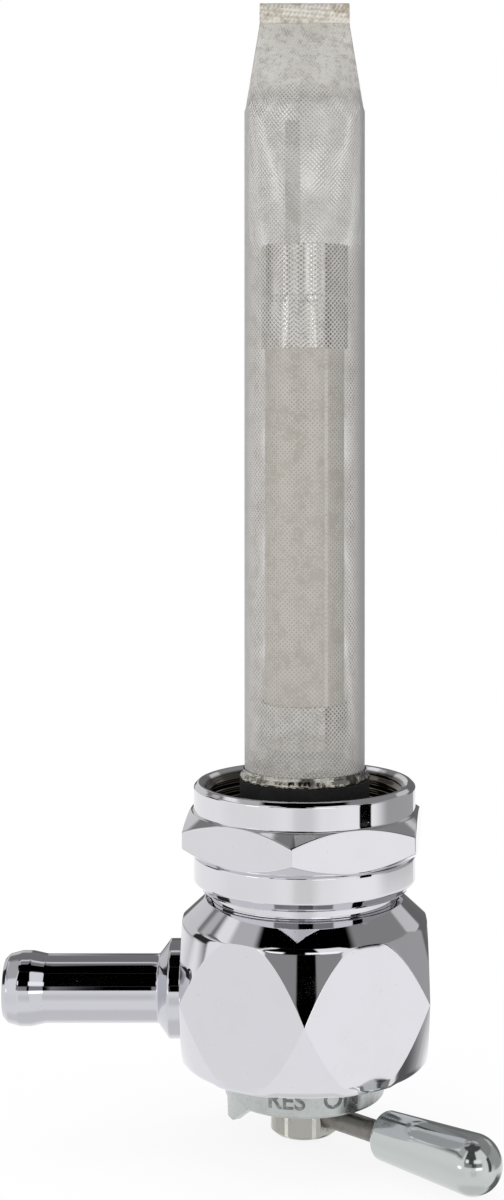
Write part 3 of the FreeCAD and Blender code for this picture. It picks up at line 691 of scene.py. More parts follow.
def bright_plating(name, tint, gloss, smears, waves, metallic=1.0, threaded=False):
    """Chrome or nickel plating. It is darkened with painted shade inside the spigot's bore, which the body's
    skin closes at its end, and on a threaded piece also inside the nut's bore."""
    tree, shader = blank_material(name, metallic, tint)
    plating = add_group(tree, "Plating", Colour=(*tint, 1), Gloss=gloss, Smears=smears, Waves=waves)
    scene = bpy.context.scene
    x, y, z = parts_of(tree, object_place(tree))
    above = maths(tree, "SUBTRACT", z, box_middle("outlet_spigot"))
    to_the_left = mapped(tree, x, (-1.0 * mm, 0.0), (1.0, 0.0))
    # Painted shade: darker inside the spigot's bore, and on the nut also inside its own bore.
    seen = painted_bore_shade(tree, plating["Colour"], y, above, scene.tap_spigot.bore_radius, to_the_left)
    if threaded:
        seen = painted_bore_shade(tree, seen, x, y, scene.tap_nut.bore_radius)
    cover(tree, shader, seen, plating["Roughness"], plating["Height"], 0.012 * mm)


def add_grain(tree, tint, stain, scale, stain_share, roughness, spread):
    """Put the grain group into a material, and give its outputs."""
    return add_group(
        tree, "Grain", Colour=(*tint, 1), Stain=(*stain, 1), Scale=scale, Stain_Share=stain_share,
        Roughness=roughness, Spread=spread,
    )


def grained(name, tint, metallic, relief, **grain_values):
    """Cast, pressed, brushed or moulded surface with fine grain."""
    tree, shader = blank_material(name, metallic, tint)
    grain = add_grain(tree, tint, **grain_values)
    cover(tree, shader, grain["Colour"], grain["Roughness"], grain["Height"], relief)


def lathe_turned(name, tint, spacing, relief, painted_stripe_angles, **grain_values):
    """Turned metal: grain in the colour and fine rings in the normal. Each stripe angle, a polar angle
    in degrees, gives a thin bright matt stripe up the tube: a painted highlight."""
    tree, shader = blank_material(name, 1.0, tint)
    grain = add_grain(tree, tint, scale=1400.0, spread=0.2, **grain_values)
    rings = add_group(tree, "Turning Rings", Spacing=spacing, Shake=1.5)
    stripe_colour = (1.0, 0.96, 0.90, 1)
    stripe_edges = (math.radians(2.4), math.radians(4.0))
    x, y = parts_of(tree, object_place(tree))[:2]
    around = maths(tree, "ARCTAN2", y, x)
    painted_stripe = 0.0
    # Painted highlight: near-white matt stripes at the given angles.
    for seam in painted_stripe_angles:
        aside = maths(tree, "ABSOLUTE", maths(tree, "SUBTRACT", around, math.radians(seam)))
        painted_stripe = maths(tree, "MAXIMUM", painted_stripe, mapped(tree, aside, stripe_edges, (1.0, 0.0)))
    connect(tree, maths(tree, "SUBTRACT", 1.0, painted_stripe), shader["Metallic"])
    seen = mixed(tree, painted_stripe, grain["Colour"], stripe_colour)
    cover(tree, shader, seen, grain["Roughness"], rings["Height"], relief)


def woven(name, tint, tarnish, outline_shade_tint):
    """Wire gauze: open between its wires, which are rounded, with painted shade at their edges and
    crossings, and painted shade on the right and towards the outline. Above the shoulder it is filled
    with dirt, and with solder near the band. The openings also close at a slant, beside the standpipe,
    and towards the foot."""
    sizes = bpy.context.scene.tap_strainer
    tree, shader = blank_material(name, 0.35, tint)
    per_metre = 1 / (sizes.wire_pitch * math.sqrt(2))
    weave = add_group(
        tree, "Woven Wire", Wires_Around=round(full_turn * sizes.radius * per_metre),
        Wires_per_Metre=per_metre, Wire_Share=sizes.wire_share,
    )
    grain = add_grain(tree, tint, tarnish, scale=3200.0, stain_share=0.6, roughness=0.42, spread=0.2)
    weave_shade_colour = tuple(0.7 * part for part in tarnish)
    gap_shade, crossing_shade, filling_share = 0.5, 0.35, 0.7
    place_on = object_place(tree)
    x, _, z = parts_of(tree, place_on)
    slant = tree.nodes.new("ShaderNodeLayerWeight")
    slant.inputs["Blend"].default_value = 0.5
    facing = slant.outputs["Facing"]

    # Painted shade: wire edges and openings darker, and crossings darker still.
    weave_shade = times_plus(tree, weave["Mask"], -gap_shade, gap_shade)
    weave_shade = times_plus(tree, weave["Crossing"], crossing_shade, weave_shade)
    wire = mixed(tree, weave_shade, grain["Colour"], (*weave_shade_colour, 1))
    # Painted shade: darker on the right and towards the outline.
    shade_on_right = mapped(tree, x, (sizes.radius - 1.9 * mm, sizes.radius - 0.2 * mm), (0.0, 0.7))
    outline_shade = maths(tree, "ADD", shade_on_right, mapped(tree, facing, (0.35, 0.8), (0.0, 0.55)))
    wire = mixed(tree, outline_shade, wire, (*outline_shade_tint, 1))

    mottle = noise(tree, place_on, scale=1100.0, detail=5.0, roughness=0.7)
    patchy = noise(tree, place_on, scale=1300.0, detail=4.0, roughness=0.6)
    climb = mapped(tree, z, (sizes.shoulder, sizes.shoulder + 3.0 * mm), (0.0, 1.0))
    filled = times(tree, climb, mapped(tree, mottle, (0.36, 0.54), (0.6, 1.0)))
    dirt = mixed(tree, mapped(tree, mottle, (0.38, 0.58), (0.7, 1.0)), (*tarnish, 1), (*tint, 1))
    near_end = mapped(tree, z, (sizes.flat_level - 2.5 * mm, sizes.flat_level), (0.0, 1.0))
    tinned = times(tree, near_end, mapped(tree, patchy, (0.42, 0.56), (0.0, 1.0)))
    filling = mixed(tree, tinned, dirt, (*tint_of("solder"), 1))
    seen = mixed(tree, times(tree, filled, filling_share), wire, filling)

    tip_top = box_top("standpipe_tip")
    clogged_top = box_top("standpipe_socket") + 2.0 * mm
    below_tip = mapped(tree, z, (tip_top - 1.0 * mm, tip_top + 1.0 * mm), (1.0, 0.0))
    closed = mapped(tree, weave["Mask"], (0.0, 1.0), (sizes.haze, 1.0))
    for closing in (
        mapped(tree, facing, (0.45, 0.85), (0.0, 0.85)),
        times(tree, below_tip, mapped(tree, facing, (0.16, 0.5), (0.0, 0.75))),
        mapped(tree, z, (0.0, clogged_top), (0.75, 0.15)),
        filled,
    ):
        closed = maths(tree, "MAXIMUM", closed, closing)
    connect(tree, closed, shader["Alpha"])
    cover(tree, shader, seen, grain["Roughness"], weave["Height"], 0.05 * mm)


# The finish of each material slot: the function that makes it, its colour, and its own values. The
# painted shade of the dial's marks is one more.
finishes = {
    "body_chrome": (bright_plating, "body_chrome", dict(gloss=0.018, smears=0.05, waves=1.0)),
    "nut_chrome": (bright_plating, "nut_chrome", dict(gloss=0.02, smears=0.05, waves=1.1, threaded=True)),
    "spigot_chrome": (bright_plating, "spigot_chrome", dict(gloss=0.02, smears=0.06, waves=0.8)),
    "knob_chrome": (bright_plating, "knob_chrome", dict(gloss=0.10, smears=0.07, waves=1.2, metallic=0.92)),
    "tip_nickel": (bright_plating, "nickel", dict(gloss=0.06, smears=0.03, waves=1.0)),
    "socket_nickel": (bright_plating, "nickel", dict(gloss=0.09, smears=0.1, waves=1.0)),
    "gauze": (woven, "gauze", dict(tarnish=(0.50, 0.47, 0.42), outline_shade_tint=(0.42, 0.42, 0.43))),
    # The standpipe's stripe and the stem's two stripes are painted highlights.
    "standpipe_brass": (lathe_turned, "brass", dict(
        stain=(0.45, 0.38, 0.28), stain_share=0.12, roughness=0.34, spacing=0.35 * mm, relief=0.002 * mm,
        painted_stripe_angles=(-57,),
    )),
    "stem_steel": (lathe_turned, "stem", dict(
        stain=(0.26, 0.24, 0.20), stain_share=0.3, roughness=0.07, spacing=0.22 * mm, relief=0.0006 * mm,
        painted_stripe_angles=(-122, -74),
    )),
    # Painted shade: the near-black stain over nearly all of the ring stands for the shade in the nut's mouth.
    "ferrule_steel": (grained, "ferrule", dict(
        stain=(0.06, 0.055, 0.045), metallic=1.0, scale=700.0, stain_share=0.95, roughness=0.16,
        spread=0.2, relief=0.10 * mm,
    )),
    "solder": (grained, "solder", dict(
        stain=(0.40, 0.34, 0.25), metallic=0.6, scale=1000.0, stain_share=0.85, roughness=0.40,
        spread=0.3, relief=0.10 * mm,
    )),
    "rod_steel": (grained, "rod", dict(
        stain=(0.12, 0.10, 0.08), metallic=0.9, scale=1500.0, stain_share=0.5, roughness=0.36,
        spread=0.25, relief=0.01 * mm,
    )),
    "dial_satin": (grained, "satin", dict(
        stain=(0.36, 0.37, 0.35), metallic=1.0, scale=2200.0, stain_share=0.35, roughness=0.27,
        spread=0.12, relief=0.006 * mm,
    )),
    # Painted shade: the dark finish of the dial's marks.
    "mark_fill": (grained, "mark_fill", dict(
        stain=(0.34, 0.35, 0.34), metallic=0.8, scale=1500.0, stain_share=0.8, roughness=0.35,
        spread=0.2, relief=0.01 * mm,
    )),
    "spring_steel": (grained, "spring", dict(
        stain=(0.25, 0.24, 0.24), metallic=1.0, scale=1800.0, stain_share=0.3, roughness=0.25,
        spread=0.15, relief=0.004 * mm,
    )),
    "black_rubber": (grained, "rubber", dict(
        stain=(0.02, 0.02, 0.02), metallic=0.0, scale=1600.0, stain_share=0.4, roughness=0.75,
        spread=0.2, relief=0.02 * mm,
    )),
    "fibre": (grained, "fibre", dict(
        stain=(0.22, 0.08, 0.05), metallic=0.0, scale=2400.0, stain_share=0.6, roughness=0.75,
        spread=0.2, relief=0.03 * mm,
    )),
}


def finish(slot):
    """Material of one of the slots, made the first time it is asked for."""
    name = "tap_" + slot
    if name not in bpy.data.materials:
        make, key, values = finishes[slot]
        make(name, tint_of(key), **values)
    return bpy.data.materials[name]


# pieces


class TAP_OT_shared_effects(bpy.types.Operator):
    """Build the shader node groups and give every CAD node its material."""
    bl_idname = "tap.shared_effects"
    bl_label = "Shared effects"

    def execute(self, context):
        plating_group()
        grain_group()
        turning_group()
        weave_group()
        for part in frame["record"]["subparts"]:
            node = frame["nodes"][part["node"]]
            node.data.materials.clear()
            node.data.materials.append(finish(part["material_slot"]))
        return {"FINISHED"}


class TAP_OT_coupling_nut(bpy.types.Operator):
    """Build the coupling nut: two rims, a hexagon with turned corners, and a thread in the mouth."""
    bl_idname = "tap.coupling_nut"
    bl_label = "Coupling nut"

    def execute(self, context):
        sizes = context.scene.tap_nut
        bottom, top = box_bottom("coupling_nut"), box_top("coupling_nut")
        turns, side = hexagon_columns(sizes.hexagon_width, sizes.corner_round, sizes.hexagon_turn)
        least = 0.02 * mm
        face = sizes.hexagon_width / 2
        chamfer = np.maximum((side - face) * math.tan(sizes.chamfer_slope), least)
        hexagon_top = top - sizes.hexagon_drop
        hexagon_bottom = hexagon_top - sizes.hexagon_height
        rim, bore, mouth, undercut = sizes.rim_radius, sizes.bore_radius, sizes.mouth_chamfer, sizes.undercut
        corners = corner_columns(turns, [
            (bore, top - mouth),
            (bore + mouth, top),
            (rim - sizes.rim_chamfer, top),
            (rim, top - sizes.rim_chamfer),
            (rim, hexagon_top),
            (face - least, hexagon_top),
            (side, hexagon_top - chamfer),
            (side, hexagon_bottom + chamfer),
            (face - least, hexagon_bottom),
            (rim - undercut, hexagon_bottom),
            (rim - undercut, hexagon_bottom - undercut),
            (rim, hexagon_bottom - 2 * undercut),
            (rim, bottom + sizes.foot_chamfer),
            (rim - sizes.foot_chamfer, bottom),
            (bore + mouth, bottom),
            (bore, bottom + mouth),
        ])
        outside = eased_outline(corners, sizes.edge_round)
        inside = self.thread_columns(sizes, turns, bottom + mouth, top - mouth)
        outline = np.concatenate([outside, inside], axis=1)
        nut = surface("coupling_nut_chrome", turned_points(outline, turns), ends="joined")
        place(nut, "nut", "nut_chrome", "coupling_nut")
        return {"FINISHED"}

    def thread_columns(self, sizes, turns, low, high):
        """Side of the bore from a low level to a high one: plain up to the thread's end, then threaded.
        The level in pitches less the turn in full turns counts the ridges. Each rises and falls in
        straight lines round its half count, and is cut off at its crest and at its root."""
        fade_in, fade_out = 0.5 * mm, 0.3 * mm
        steepness, root = 1.25, 0.1
        heights = np.concatenate([
            np.linspace(low, sizes.thread_end, 5)[1:-1],
            np.linspace(sizes.thread_end, high, 52)[:-1],
        ])
        height, turn = np.meshgrid(heights, turns)
        count = height / sizes.thread_pitch - turn / full_turn
        ridge = 1 - np.abs(2 * np.mod(count, 1) - 1)
        into_thread = np.clip((height - sizes.thread_end) / fade_in, 0, 1)
        to_mouth = np.clip((high - height) / fade_out, 0, 1)
        depth = sizes.thread_depth * np.clip(ridge * steepness - root, 0, 1) * into_thread * to_mouth
        return np.stack([sizes.bore_radius - depth, height], axis=-1)


class TAP_OT_valve_body(bpy.types.Operator):
    """Build the body: a turned blank of neck, shoulder and two cones, milled to a hexagon."""
    bl_idname = "tap.valve_body"
    bl_label = "Valve body"

    def execute(self, context):
        sizes = context.scene.tap_body
        to_camera = math.radians(-90)
        turns, side = hexagon_columns(sizes.hexagon_width, sizes.corner_round, to_camera)
        least = 0.03 * mm
        foot_room = 1.2 * sizes.foot_round
        widest = side.max()
        ridge = np.minimum(sizes.ridge_radius, side - least)
        shoulder_drop = sizes.shoulder_top - sizes.ridge_level
        shoulder_slope = shoulder_drop / (sizes.ridge_radius - sizes.shoulder_radius)
        ridge_height = sizes.shoulder_top - (ridge - sizes.shoulder_radius) * shoulder_slope
        upper_slope = (sizes.ridge_level - sizes.wide_level) / (widest - sizes.ridge_radius)
        flat_top = sizes.ridge_level - (side - sizes.ridge_radius) * upper_slope
        flat_top = np.minimum(flat_top, ridge_height - least)
        lower_slope = (sizes.wide_level - sizes.base_level) / (widest - sizes.foot_radius)
        flat_bottom = sizes.wide_level - (widest - side) * lower_slope
        flat_bottom = np.maximum(flat_bottom, sizes.base_level + foot_room)
        flat_bottom = np.minimum(flat_bottom, flat_top - least)
        foot = np.minimum(sizes.foot_radius, side)
        neck_top = box_bottom("tank_gasket")
        boss_bottom = box_bottom("valve_body")
        before_ridge = [
            (0, box_top("valve_body")),
            (sizes.seat_radius, box_top("valve_body")),
            (sizes.seat_radius, neck_top),
            (sizes.neck_radius - sizes.neck_chamfer, neck_top),
            (sizes.neck_radius, neck_top - sizes.neck_chamfer),
            (sizes.neck_radius, sizes.relief_top + sizes.neck_radius - sizes.relief_radius),
            (sizes.relief_radius, sizes.relief_top),
            (sizes.relief_radius, sizes.shoulder_top),
            (sizes.shoulder_radius, sizes.shoulder_top),
        ]
        before_foot = [(ridge, ridge_height), (side, flat_top), (side, flat_bottom)]
        from_foot = [
            (foot, sizes.base_level),
            (sizes.boss_radius, sizes.base_level),
            (sizes.boss_radius, boss_bottom),
            (sizes.chamber_radius, boss_bottom),
            (sizes.chamber_radius, sizes.ceiling),
            (0, sizes.ceiling),
        ]
        corners = corner_columns(turns, before_ridge + before_foot + from_foot)
        easing = np.full(corners.shape[1], sizes.edge_round)
        easing[len(before_ridge)] = sizes.ridge_round
        easing[len(before_ridge + before_foot)] = sizes.foot_round
        outline = eased_outline(corners, easing, steps=6)
        body = surface("valve_body_chrome", turned_points(outline, turns), ends="poles")
        place(body, "housing", "body_chrome", "valve_body")
        return {"FINISHED"}


class TAP_OT_spigot(bpy.types.Operator):
    """Build the hose spigot: flange, cone, shank and bead, open at its end."""
    bl_idname = "tap.spigot"
    bl_label = "Hose spigot"

    def execute(self, context):
        sizes = context.scene.tap_spigot
        low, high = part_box("outlet_spigot")
        end = -low.x
        root = -high.x
        flat = context.scene.tap_body.hexagon_width / 2
        flange = (high.z - low.z) / 2
        bead_foot = end - sizes.bead_start
        outline = eased_outline([
            (sizes.bore_radius, root),
            (sizes.radius, root),
            (sizes.radius, flat),
            (flange, flat),
            (flange, flat + sizes.flange_rim),
            (sizes.radius, flat + sizes.flange_rim + sizes.flange_cone),
            (sizes.radius, bead_foot),
            (sizes.bead_radius, bead_foot + sizes.bead_slope),
            (sizes.bead_radius, bead_foot + sizes.bead_slope + sizes.bead_land),
            (sizes.radius, end - sizes.end_chamfer),
            (sizes.radius - sizes.end_chamfer, end),
            (sizes.bore_radius, end),
        ], sizes.edge_round, joined=True)
        upright = turned_points(outline, even_turns(columns=144))
        points = laid_along(upright, math.pi, box_middle("outlet_spigot"))
        spigot = surface("spigot_chrome", points, ends="joined")
        place(spigot, "housing", "spigot_chrome", "outlet_spigot")
        return {"FINISHED"}


class TAP_OT_lever(bpy.types.Operator):
    """Build the bullet-shaped knob, and finish the rod and the stem."""
    bl_idname = "tap.lever"
    bl_label = "Lever"

    def execute(self, context):
        sizes = context.scene.tap_knob
        hole_ease = 0.1 * mm
        dome_start = sizes.end - sizes.dome_radius
        quarter = np.linspace(0, math.pi / 2, 28)
        coarse_quarter = quarter[::2]
        shoulder = np.stack([
            sizes.face_radius + (sizes.foot_radius - sizes.face_radius) * np.sin(coarse_quarter),
            sizes.start + sizes.shoulder * (1 - np.cos(coarse_quarter)),
        ], axis=-1)
        dome = np.stack([
            sizes.dome_radius * np.cos(quarter),
            dome_start + sizes.dome_radius * np.sin(quarter),
        ], axis=-1)
        dome[-1, 0] = 0
        hole_end = sizes.start + sizes.hole_depth
        hole = eased_outline([
            (0, hole_end),
            (sizes.hole_radius, hole_end),
            (sizes.hole_radius, sizes.start),
            (sizes.face_radius, sizes.start),
        ], hole_ease)[:-1]
        side = np.linspace(shoulder[-1], dome[0], 7)[1:-1]
        upright = turned_points(np.concatenate([hole, shoulder, side, dome]), even_turns(columns=128))
        points = laid_along(upright, sizes.lever_angle, box_middle("lever_rod"))
        knob = surface("knob_chrome", points, ends="poles")
        place(knob, "lever", "knob_chrome", "lever_knob")
        place(smooth_copy("lever_rod", 0.08 * mm), "lever", "rod_steel", "lever_rod")
        place(smooth_copy("valve_rotor", 0.05 * mm), "lever", "stem_steel", "valve_rotor")
        return {"FINISHED"}


class TAP_OT_dial(bpy.types.Operator):
    """Finish the dial collar and mark its positions."""
    bl_idname = "tap.dial"
    bl_label = "Dial"

    def execute(self, context):
        marks = context.scene.tap_marks
        place(smooth_copy("dial_collar", 0.07 * mm), "housing", "dial_satin", "dial_collar")
        angles = {"RES": marks.reserve_angle, "ON": marks.open_angle, "OFF": marks.closed_angle}
        for word, middle in angles.items():
            mesh = self.letters(context, word, marks)
            self.bend(mesh, middle, marks)
            # Each word gets the dark finish of the marks, painted shade.
            place(new_object("dial_mark_" + word, mesh), "housing", "dial_satin", fill="mark_fill")
        return {"FINISHED"}

    def letters(self, context, word, marks):
        """Mesh of a word, upright letters centred on the origin with their faces up along Z."""
        capital_share = 0.7
        curve = bpy.data.curves.new("mark_" + word, "FONT")
        curve.body = word
        curve.align_x = "CENTER"
        curve.align_y = "CENTER"
        curve.size = marks.letter_height / capital_share
        curve.extrude = marks.letter_depth
        curve.offset = 0.05 * mm
        source = new_object("mark_source", curve)
        mesh = bpy.data.meshes.new_from_object(source.evaluated_get(context.evaluated_depsgraph_get()))
        bpy.data.objects.remove(source)
        return mesh

    def bend(self, mesh, middle, marks):
        """Wrap a word round the dial's cone: its x becomes a turn from the middle angle, its y a height,
        and its z stands out from the cone."""
        top = box_top("dial_collar")
        flare = box_radius("dial_collar") - marks.cone_radius
        flat = np.empty(len(mesh.vertices) * 3, np.float32)
        mesh.vertices.foreach_get("co", flat)
        across, up, out = flat.reshape(-1, 3).T
        height = marks.middle_level + up
        wall = marks.cone_radius + flare * (height - marks.cone_bottom) / (top - marks.cone_bottom)
        radius = wall + out - marks.letter_depth + marks.proud
        turn = middle + across / marks.cone_radius
        bent = np.stack([radius * np.cos(turn), radius * np.sin(turn), height], axis=-1)
        mesh.vertices.foreach_set("co", bent.astype(np.float32).ravel())
        mesh.update()


class TAP_OT_strainer(bpy.types.Operator):
    """Build the gauze tube with its lapped seam and pinched end, the soldered band and the ferrule."""
    bl_idname = "tap.strainer"
    bl_label = "Strainer"

    def execute(self, context):
        sizes = context.scene.tap_strainer
        gauze = surface("strainer_gauze", self.gauze_points(sizes), flow=True)
        place(gauze, "housing", "gauze", "strainer_mesh")
        place(self.lap(sizes), "housing", "gauze")
        band_points = self.band_points(sizes, sizes.flat_level, box_top("strainer_solder"))
        band = surface("strainer_band", band_points, ends="poles")
        place(band, "housing", "solder", "strainer_solder")
        ferrule = surface("strainer_foot_ring", self.ferrule_points(sizes), ends="joined")
        place(ferrule, "housing", "ferrule_steel", "strainer_ferrule")
        return {"FINISHED"}

    def gauze_points(self, sizes):
        """Round tube up to the shoulder, then the pinch, which ends just inside the soldered band."""
        into_band = 0.2 * mm
        tube = np.linspace(box_bottom("strainer_mesh"), sizes.shoulder, 28)
        pinch = np.linspace(sizes.shoulder, sizes.flat_level + into_band, 25)[1:]
        heights = np.concatenate([tube, pinch])[:, None]
        part = np.clip((heights - sizes.shoulder) / (sizes.flat_level - sizes.shoulder), 0, 1)
        x, y = self.pinched(even_turns(columns=150), part, sizes)
        return np.stack([x, y, np.broadcast_to(heights, x.shape)], axis=-1)[::-1]

    def pinched(self, turns, part, sizes):
        """x and y of the gauze at angles round the tube, a part of the way from the round tube to the
        flat end. On the flat end the front and back panels run straight between the corners, and each
        side folds inwards by the gusset's depth. A point moves in a straight line from its place on
        the circle to its place on the flat end."""
        folded = np.arctan2(np.abs(np.sin(turns)), np.abs(np.cos(turns)))
        corner = sizes.corner_angle
        half_width = sizes.flat_width / 2
        in_side = np.clip(folded / corner, 0, 1)
        in_panel = np.clip((folded - corner) / (math.pi / 2 - corner), 0, 1)
        side_x = half_width - sizes.gusset_depth * (1 - in_side)
        flat_x = np.where(folded <= corner, side_x, half_width * (1 - in_panel))
        flat_y = sizes.flat_thickness / 2 * in_side
        x = sizes.radius * np.abs(np.cos(turns)) * (1 - part) + flat_x * part
        y = sizes.radius * np.abs(np.sin(turns)) * (1 - part) + flat_y * part
        return x * np.sign(np.cos(turns)), y * np.sign(np.sin(turns))

    def lap(self, sizes):
        """Inner lap of the seam, a strip of the same weave that lies a little off the tube's weave."""
        columns = 13
        weave_shift = 0.0045
        turns = np.linspace(sizes.lap_start, sizes.lap_end, columns)
        heights = np.linspace(box_bottom("strainer_mesh"), sizes.shoulder, 12)[::-1]
        outline = np.stack([np.full_like(heights, sizes.radius - sizes.lap_gap), heights], axis=-1)
        lap = surface("strainer_lap", turned_points(outline, turns), closed_around=False, flow=True)
        flow = lap.data.uv_layers["UVMap"].data
        values = np.empty(len(flow) * 2, np.float32)
        flow.foreach_get("uv", values)
        values = values.reshape(-1, 2)
        lap_part = (sizes.lap_end - sizes.lap_start) / full_turn
        values[:, 0] = values[:, 0] * columns / (columns - 1) * lap_part + weave_shift
        flow.foreach_set("uv", values.ravel())
        return lap

    def ferrule_points(self, sizes):
        """Ring crimped over the gauze's foot: a low skirt and a thin neck, pressed in and out by waves
        of the turn, most of all at the skirt."""
        over_gauze = 0.12 * mm
        edge_round = 0.1 * mm
        largest_wave = 1.7
        low = box_bottom("strainer_ferrule")
        slope_end = low + 2.2 * sizes.skirt_height
        high = low + 3.2 * sizes.skirt_height
        inner = sizes.radius + over_gauze
        skirt = box_radius("strainer_ferrule")
        outline = eased_outline([
            (inner, low),
            (skirt, low),
            (skirt, low + sizes.skirt_height),
            (inner + sizes.neck_wall, slope_end),
            (inner + sizes.neck_wall, high),
            (inner, high),
        ], edge_round, joined=True)
        turns = even_turns(columns=180)
        points = turned_points(outline, turns)
        waves = np.sin(9 * turns + 1.3) * np.sin(5 * turns)
        waves = waves + 0.7 * np.sin(31 * turns + 2 * np.sin(4 * turns))
        part_out = np.clip((outline[:, 0] - inner) / (skirt - inner), 0, 1)[:, None]
        squeeze = 1 - sizes.crimp / skirt * part_out * (largest_wave + waves) / largest_wave
        points[..., :2] *= squeeze[..., None]
        return points

    def band_points(self, sizes, low, high):
        """Soldered band: a rectangle with rounded upper and lower edges and lumps. The cosine and the
        sine of the turn, enlarged and cut off at 1, give the rectangle, and waves along both diagonals
        of its faces press it inwards, their lengths given in radians per millimetre."""
        turns = even_turns(columns=240)
        largest_wave = 1.6
        rounded_part = 0.3
        narrowed_part = 0.03
        flat_part = 0.375
        along = np.linspace(0, 1, 26)[:, None]
        towards_edge = np.clip((np.abs(2 * along - 1) - flat_part) / (1 - flat_part), 0, 1)
        bulge = np.sqrt(np.clip(1 - towards_edge ** 2, 0, 1))
        scale = np.concatenate([[[0.0]], 1 - rounded_part + rounded_part * bulge, [[0.0]]])
        height = high + (low - high) * np.concatenate([[[0.0]], along, [[1.0]]])
        width = sizes.flat_width / 2 * np.clip(1.03 * np.cos(turns), -1, 1)
        across, up = width / mm, height / mm
        waves = np.sin(7 * across + 5 * up) * np.cos(6 * across - 7 * up)
        waves = waves + 0.6 * np.sin(13 * across - 9 * up)
        lumps = 1 - sizes.band_lumps / sizes.flat_thickness * (largest_wave + waves) / largest_wave
        thickness = sizes.flat_thickness / 2 * np.clip(4 * np.sin(turns), -1, 1)
        x = width * (1 - narrowed_part + narrowed_part * scale) * np.sign(scale)
        y = thickness * lumps * scale
        return np.stack([x, y, np.broadcast_to(height, x.shape)], axis=-1)


class TAP_OT_standpipe(bpy.types.Operator):
    """Finish the standpipe, its tip and its socket, which show through the gauze, and the gasket."""
    bl_idname = "tap.standpipe"
    bl_label = "Standpipe"

    def execute(self, context):
        for node, slot, edge_round in (
            ("standpipe", "standpipe_brass", 0.0),
            ("standpipe_tip", "tip_nickel", 0.08 * mm),
            ("standpipe_socket", "socket_nickel", 0.1 * mm),
            ("tank_gasket", "black_rubber", 0.1 * mm),
        ):
            place(smooth_copy(node, edge_round), "housing", slot, node)
        return {"FINISHED"}


# stage


# Azimuth in degrees of the dark opening in front, which second reflections see filled.
front_opening = -102.0

# What the plating reflects, from the first patch to the last one on top: brightness, azimuth, half
# its width, elevation, half its height, and softness of its edges, all but the first in degrees.
tent_patches = (
    (0.24, 90.0, 62.0, 45.0, 46.0, 6.0),
    (0.42, 20.0, 43.0, 38.0, 51.5, 1.5),
    (0.28, 20.0, 43.0, 60.0, 30.0, 4.0),
    (0.16, 78.0, 34.0, 6.0, 15.0, 3.0),
    (0.82, 0.0, 181.0, -82.0, 22.0, 8.0),
    (0.12, 42.0, 30.0, -42.0, 14.0, 6.0),
    (0.55, 180.0, 42.0, 60.0, 31.0, 2.5),
    (0.16, 180.0, 34.0, 37.0, 3.0, 2.0),
    (1.00, 157.0, 24.0, 46.0, 4.5, 2.0),
    (0.72, 122.0, 25.0, 14.0, 12.0, 2.0),
    (0.03, 160.0, 12.0, 14.0, 12.0, 2.0),
    (0.94, -150.0, 30.0, -17.0, 14.0, 12.0),
    (1.07, -30.0, 25.0, -17.0, 14.0, 12.0),
    (0.66, 50.0, 10.0, 24.5, 7.0, 1.5),
    (0.30, -91.0, 35.0, 14.5, 6.5, 1.5),
    (0.00, -88.5, 8.5, 14.5, 6.5, 1.0),
    (0.00, -25.0, 7.0, 8.5, 21.5, 0.7),
    (0.00, -90.0, 95.0, 82.0, 18.0, 2.0),
    (0.00, 90.0, 92.0, 90.0, 9.0, 1.5),
    (0.85, 60.0, 25.0, 70.0, 3.0, 1.5),
    (0.85, 120.0, 25.0, 70.0, 3.0, 1.5),
    (0.80, -90.0, 12.0, -14.0, 10.0, 8.0),
    (2.20, -144.0, 7.0, 3.0, 4.0, 1.5),
    (2.20, -70.0, 12.0, 3.0, 4.0, 1.5),
    (0.00, front_opening, 26.0, 43.0, 23.0, 2.0),
    (1.30, -117.0, 7.0, 29.0, 6.0, 2.0),
    (1.30, -73.0, 15.0, 29.0, 6.0, 2.0),
)

# Softboxes: name, place, side, and share of the lamp power.
softboxes = (
    ("left_softbox", (-0.45, -0.35, 0.30), 0.5, 1.0),
    ("right_softbox", (0.50, -0.25, 0.22), 0.4, 0.6),
    ("top_softbox", (0.0, 0.10, 0.60), 0.5, 1.0),
)


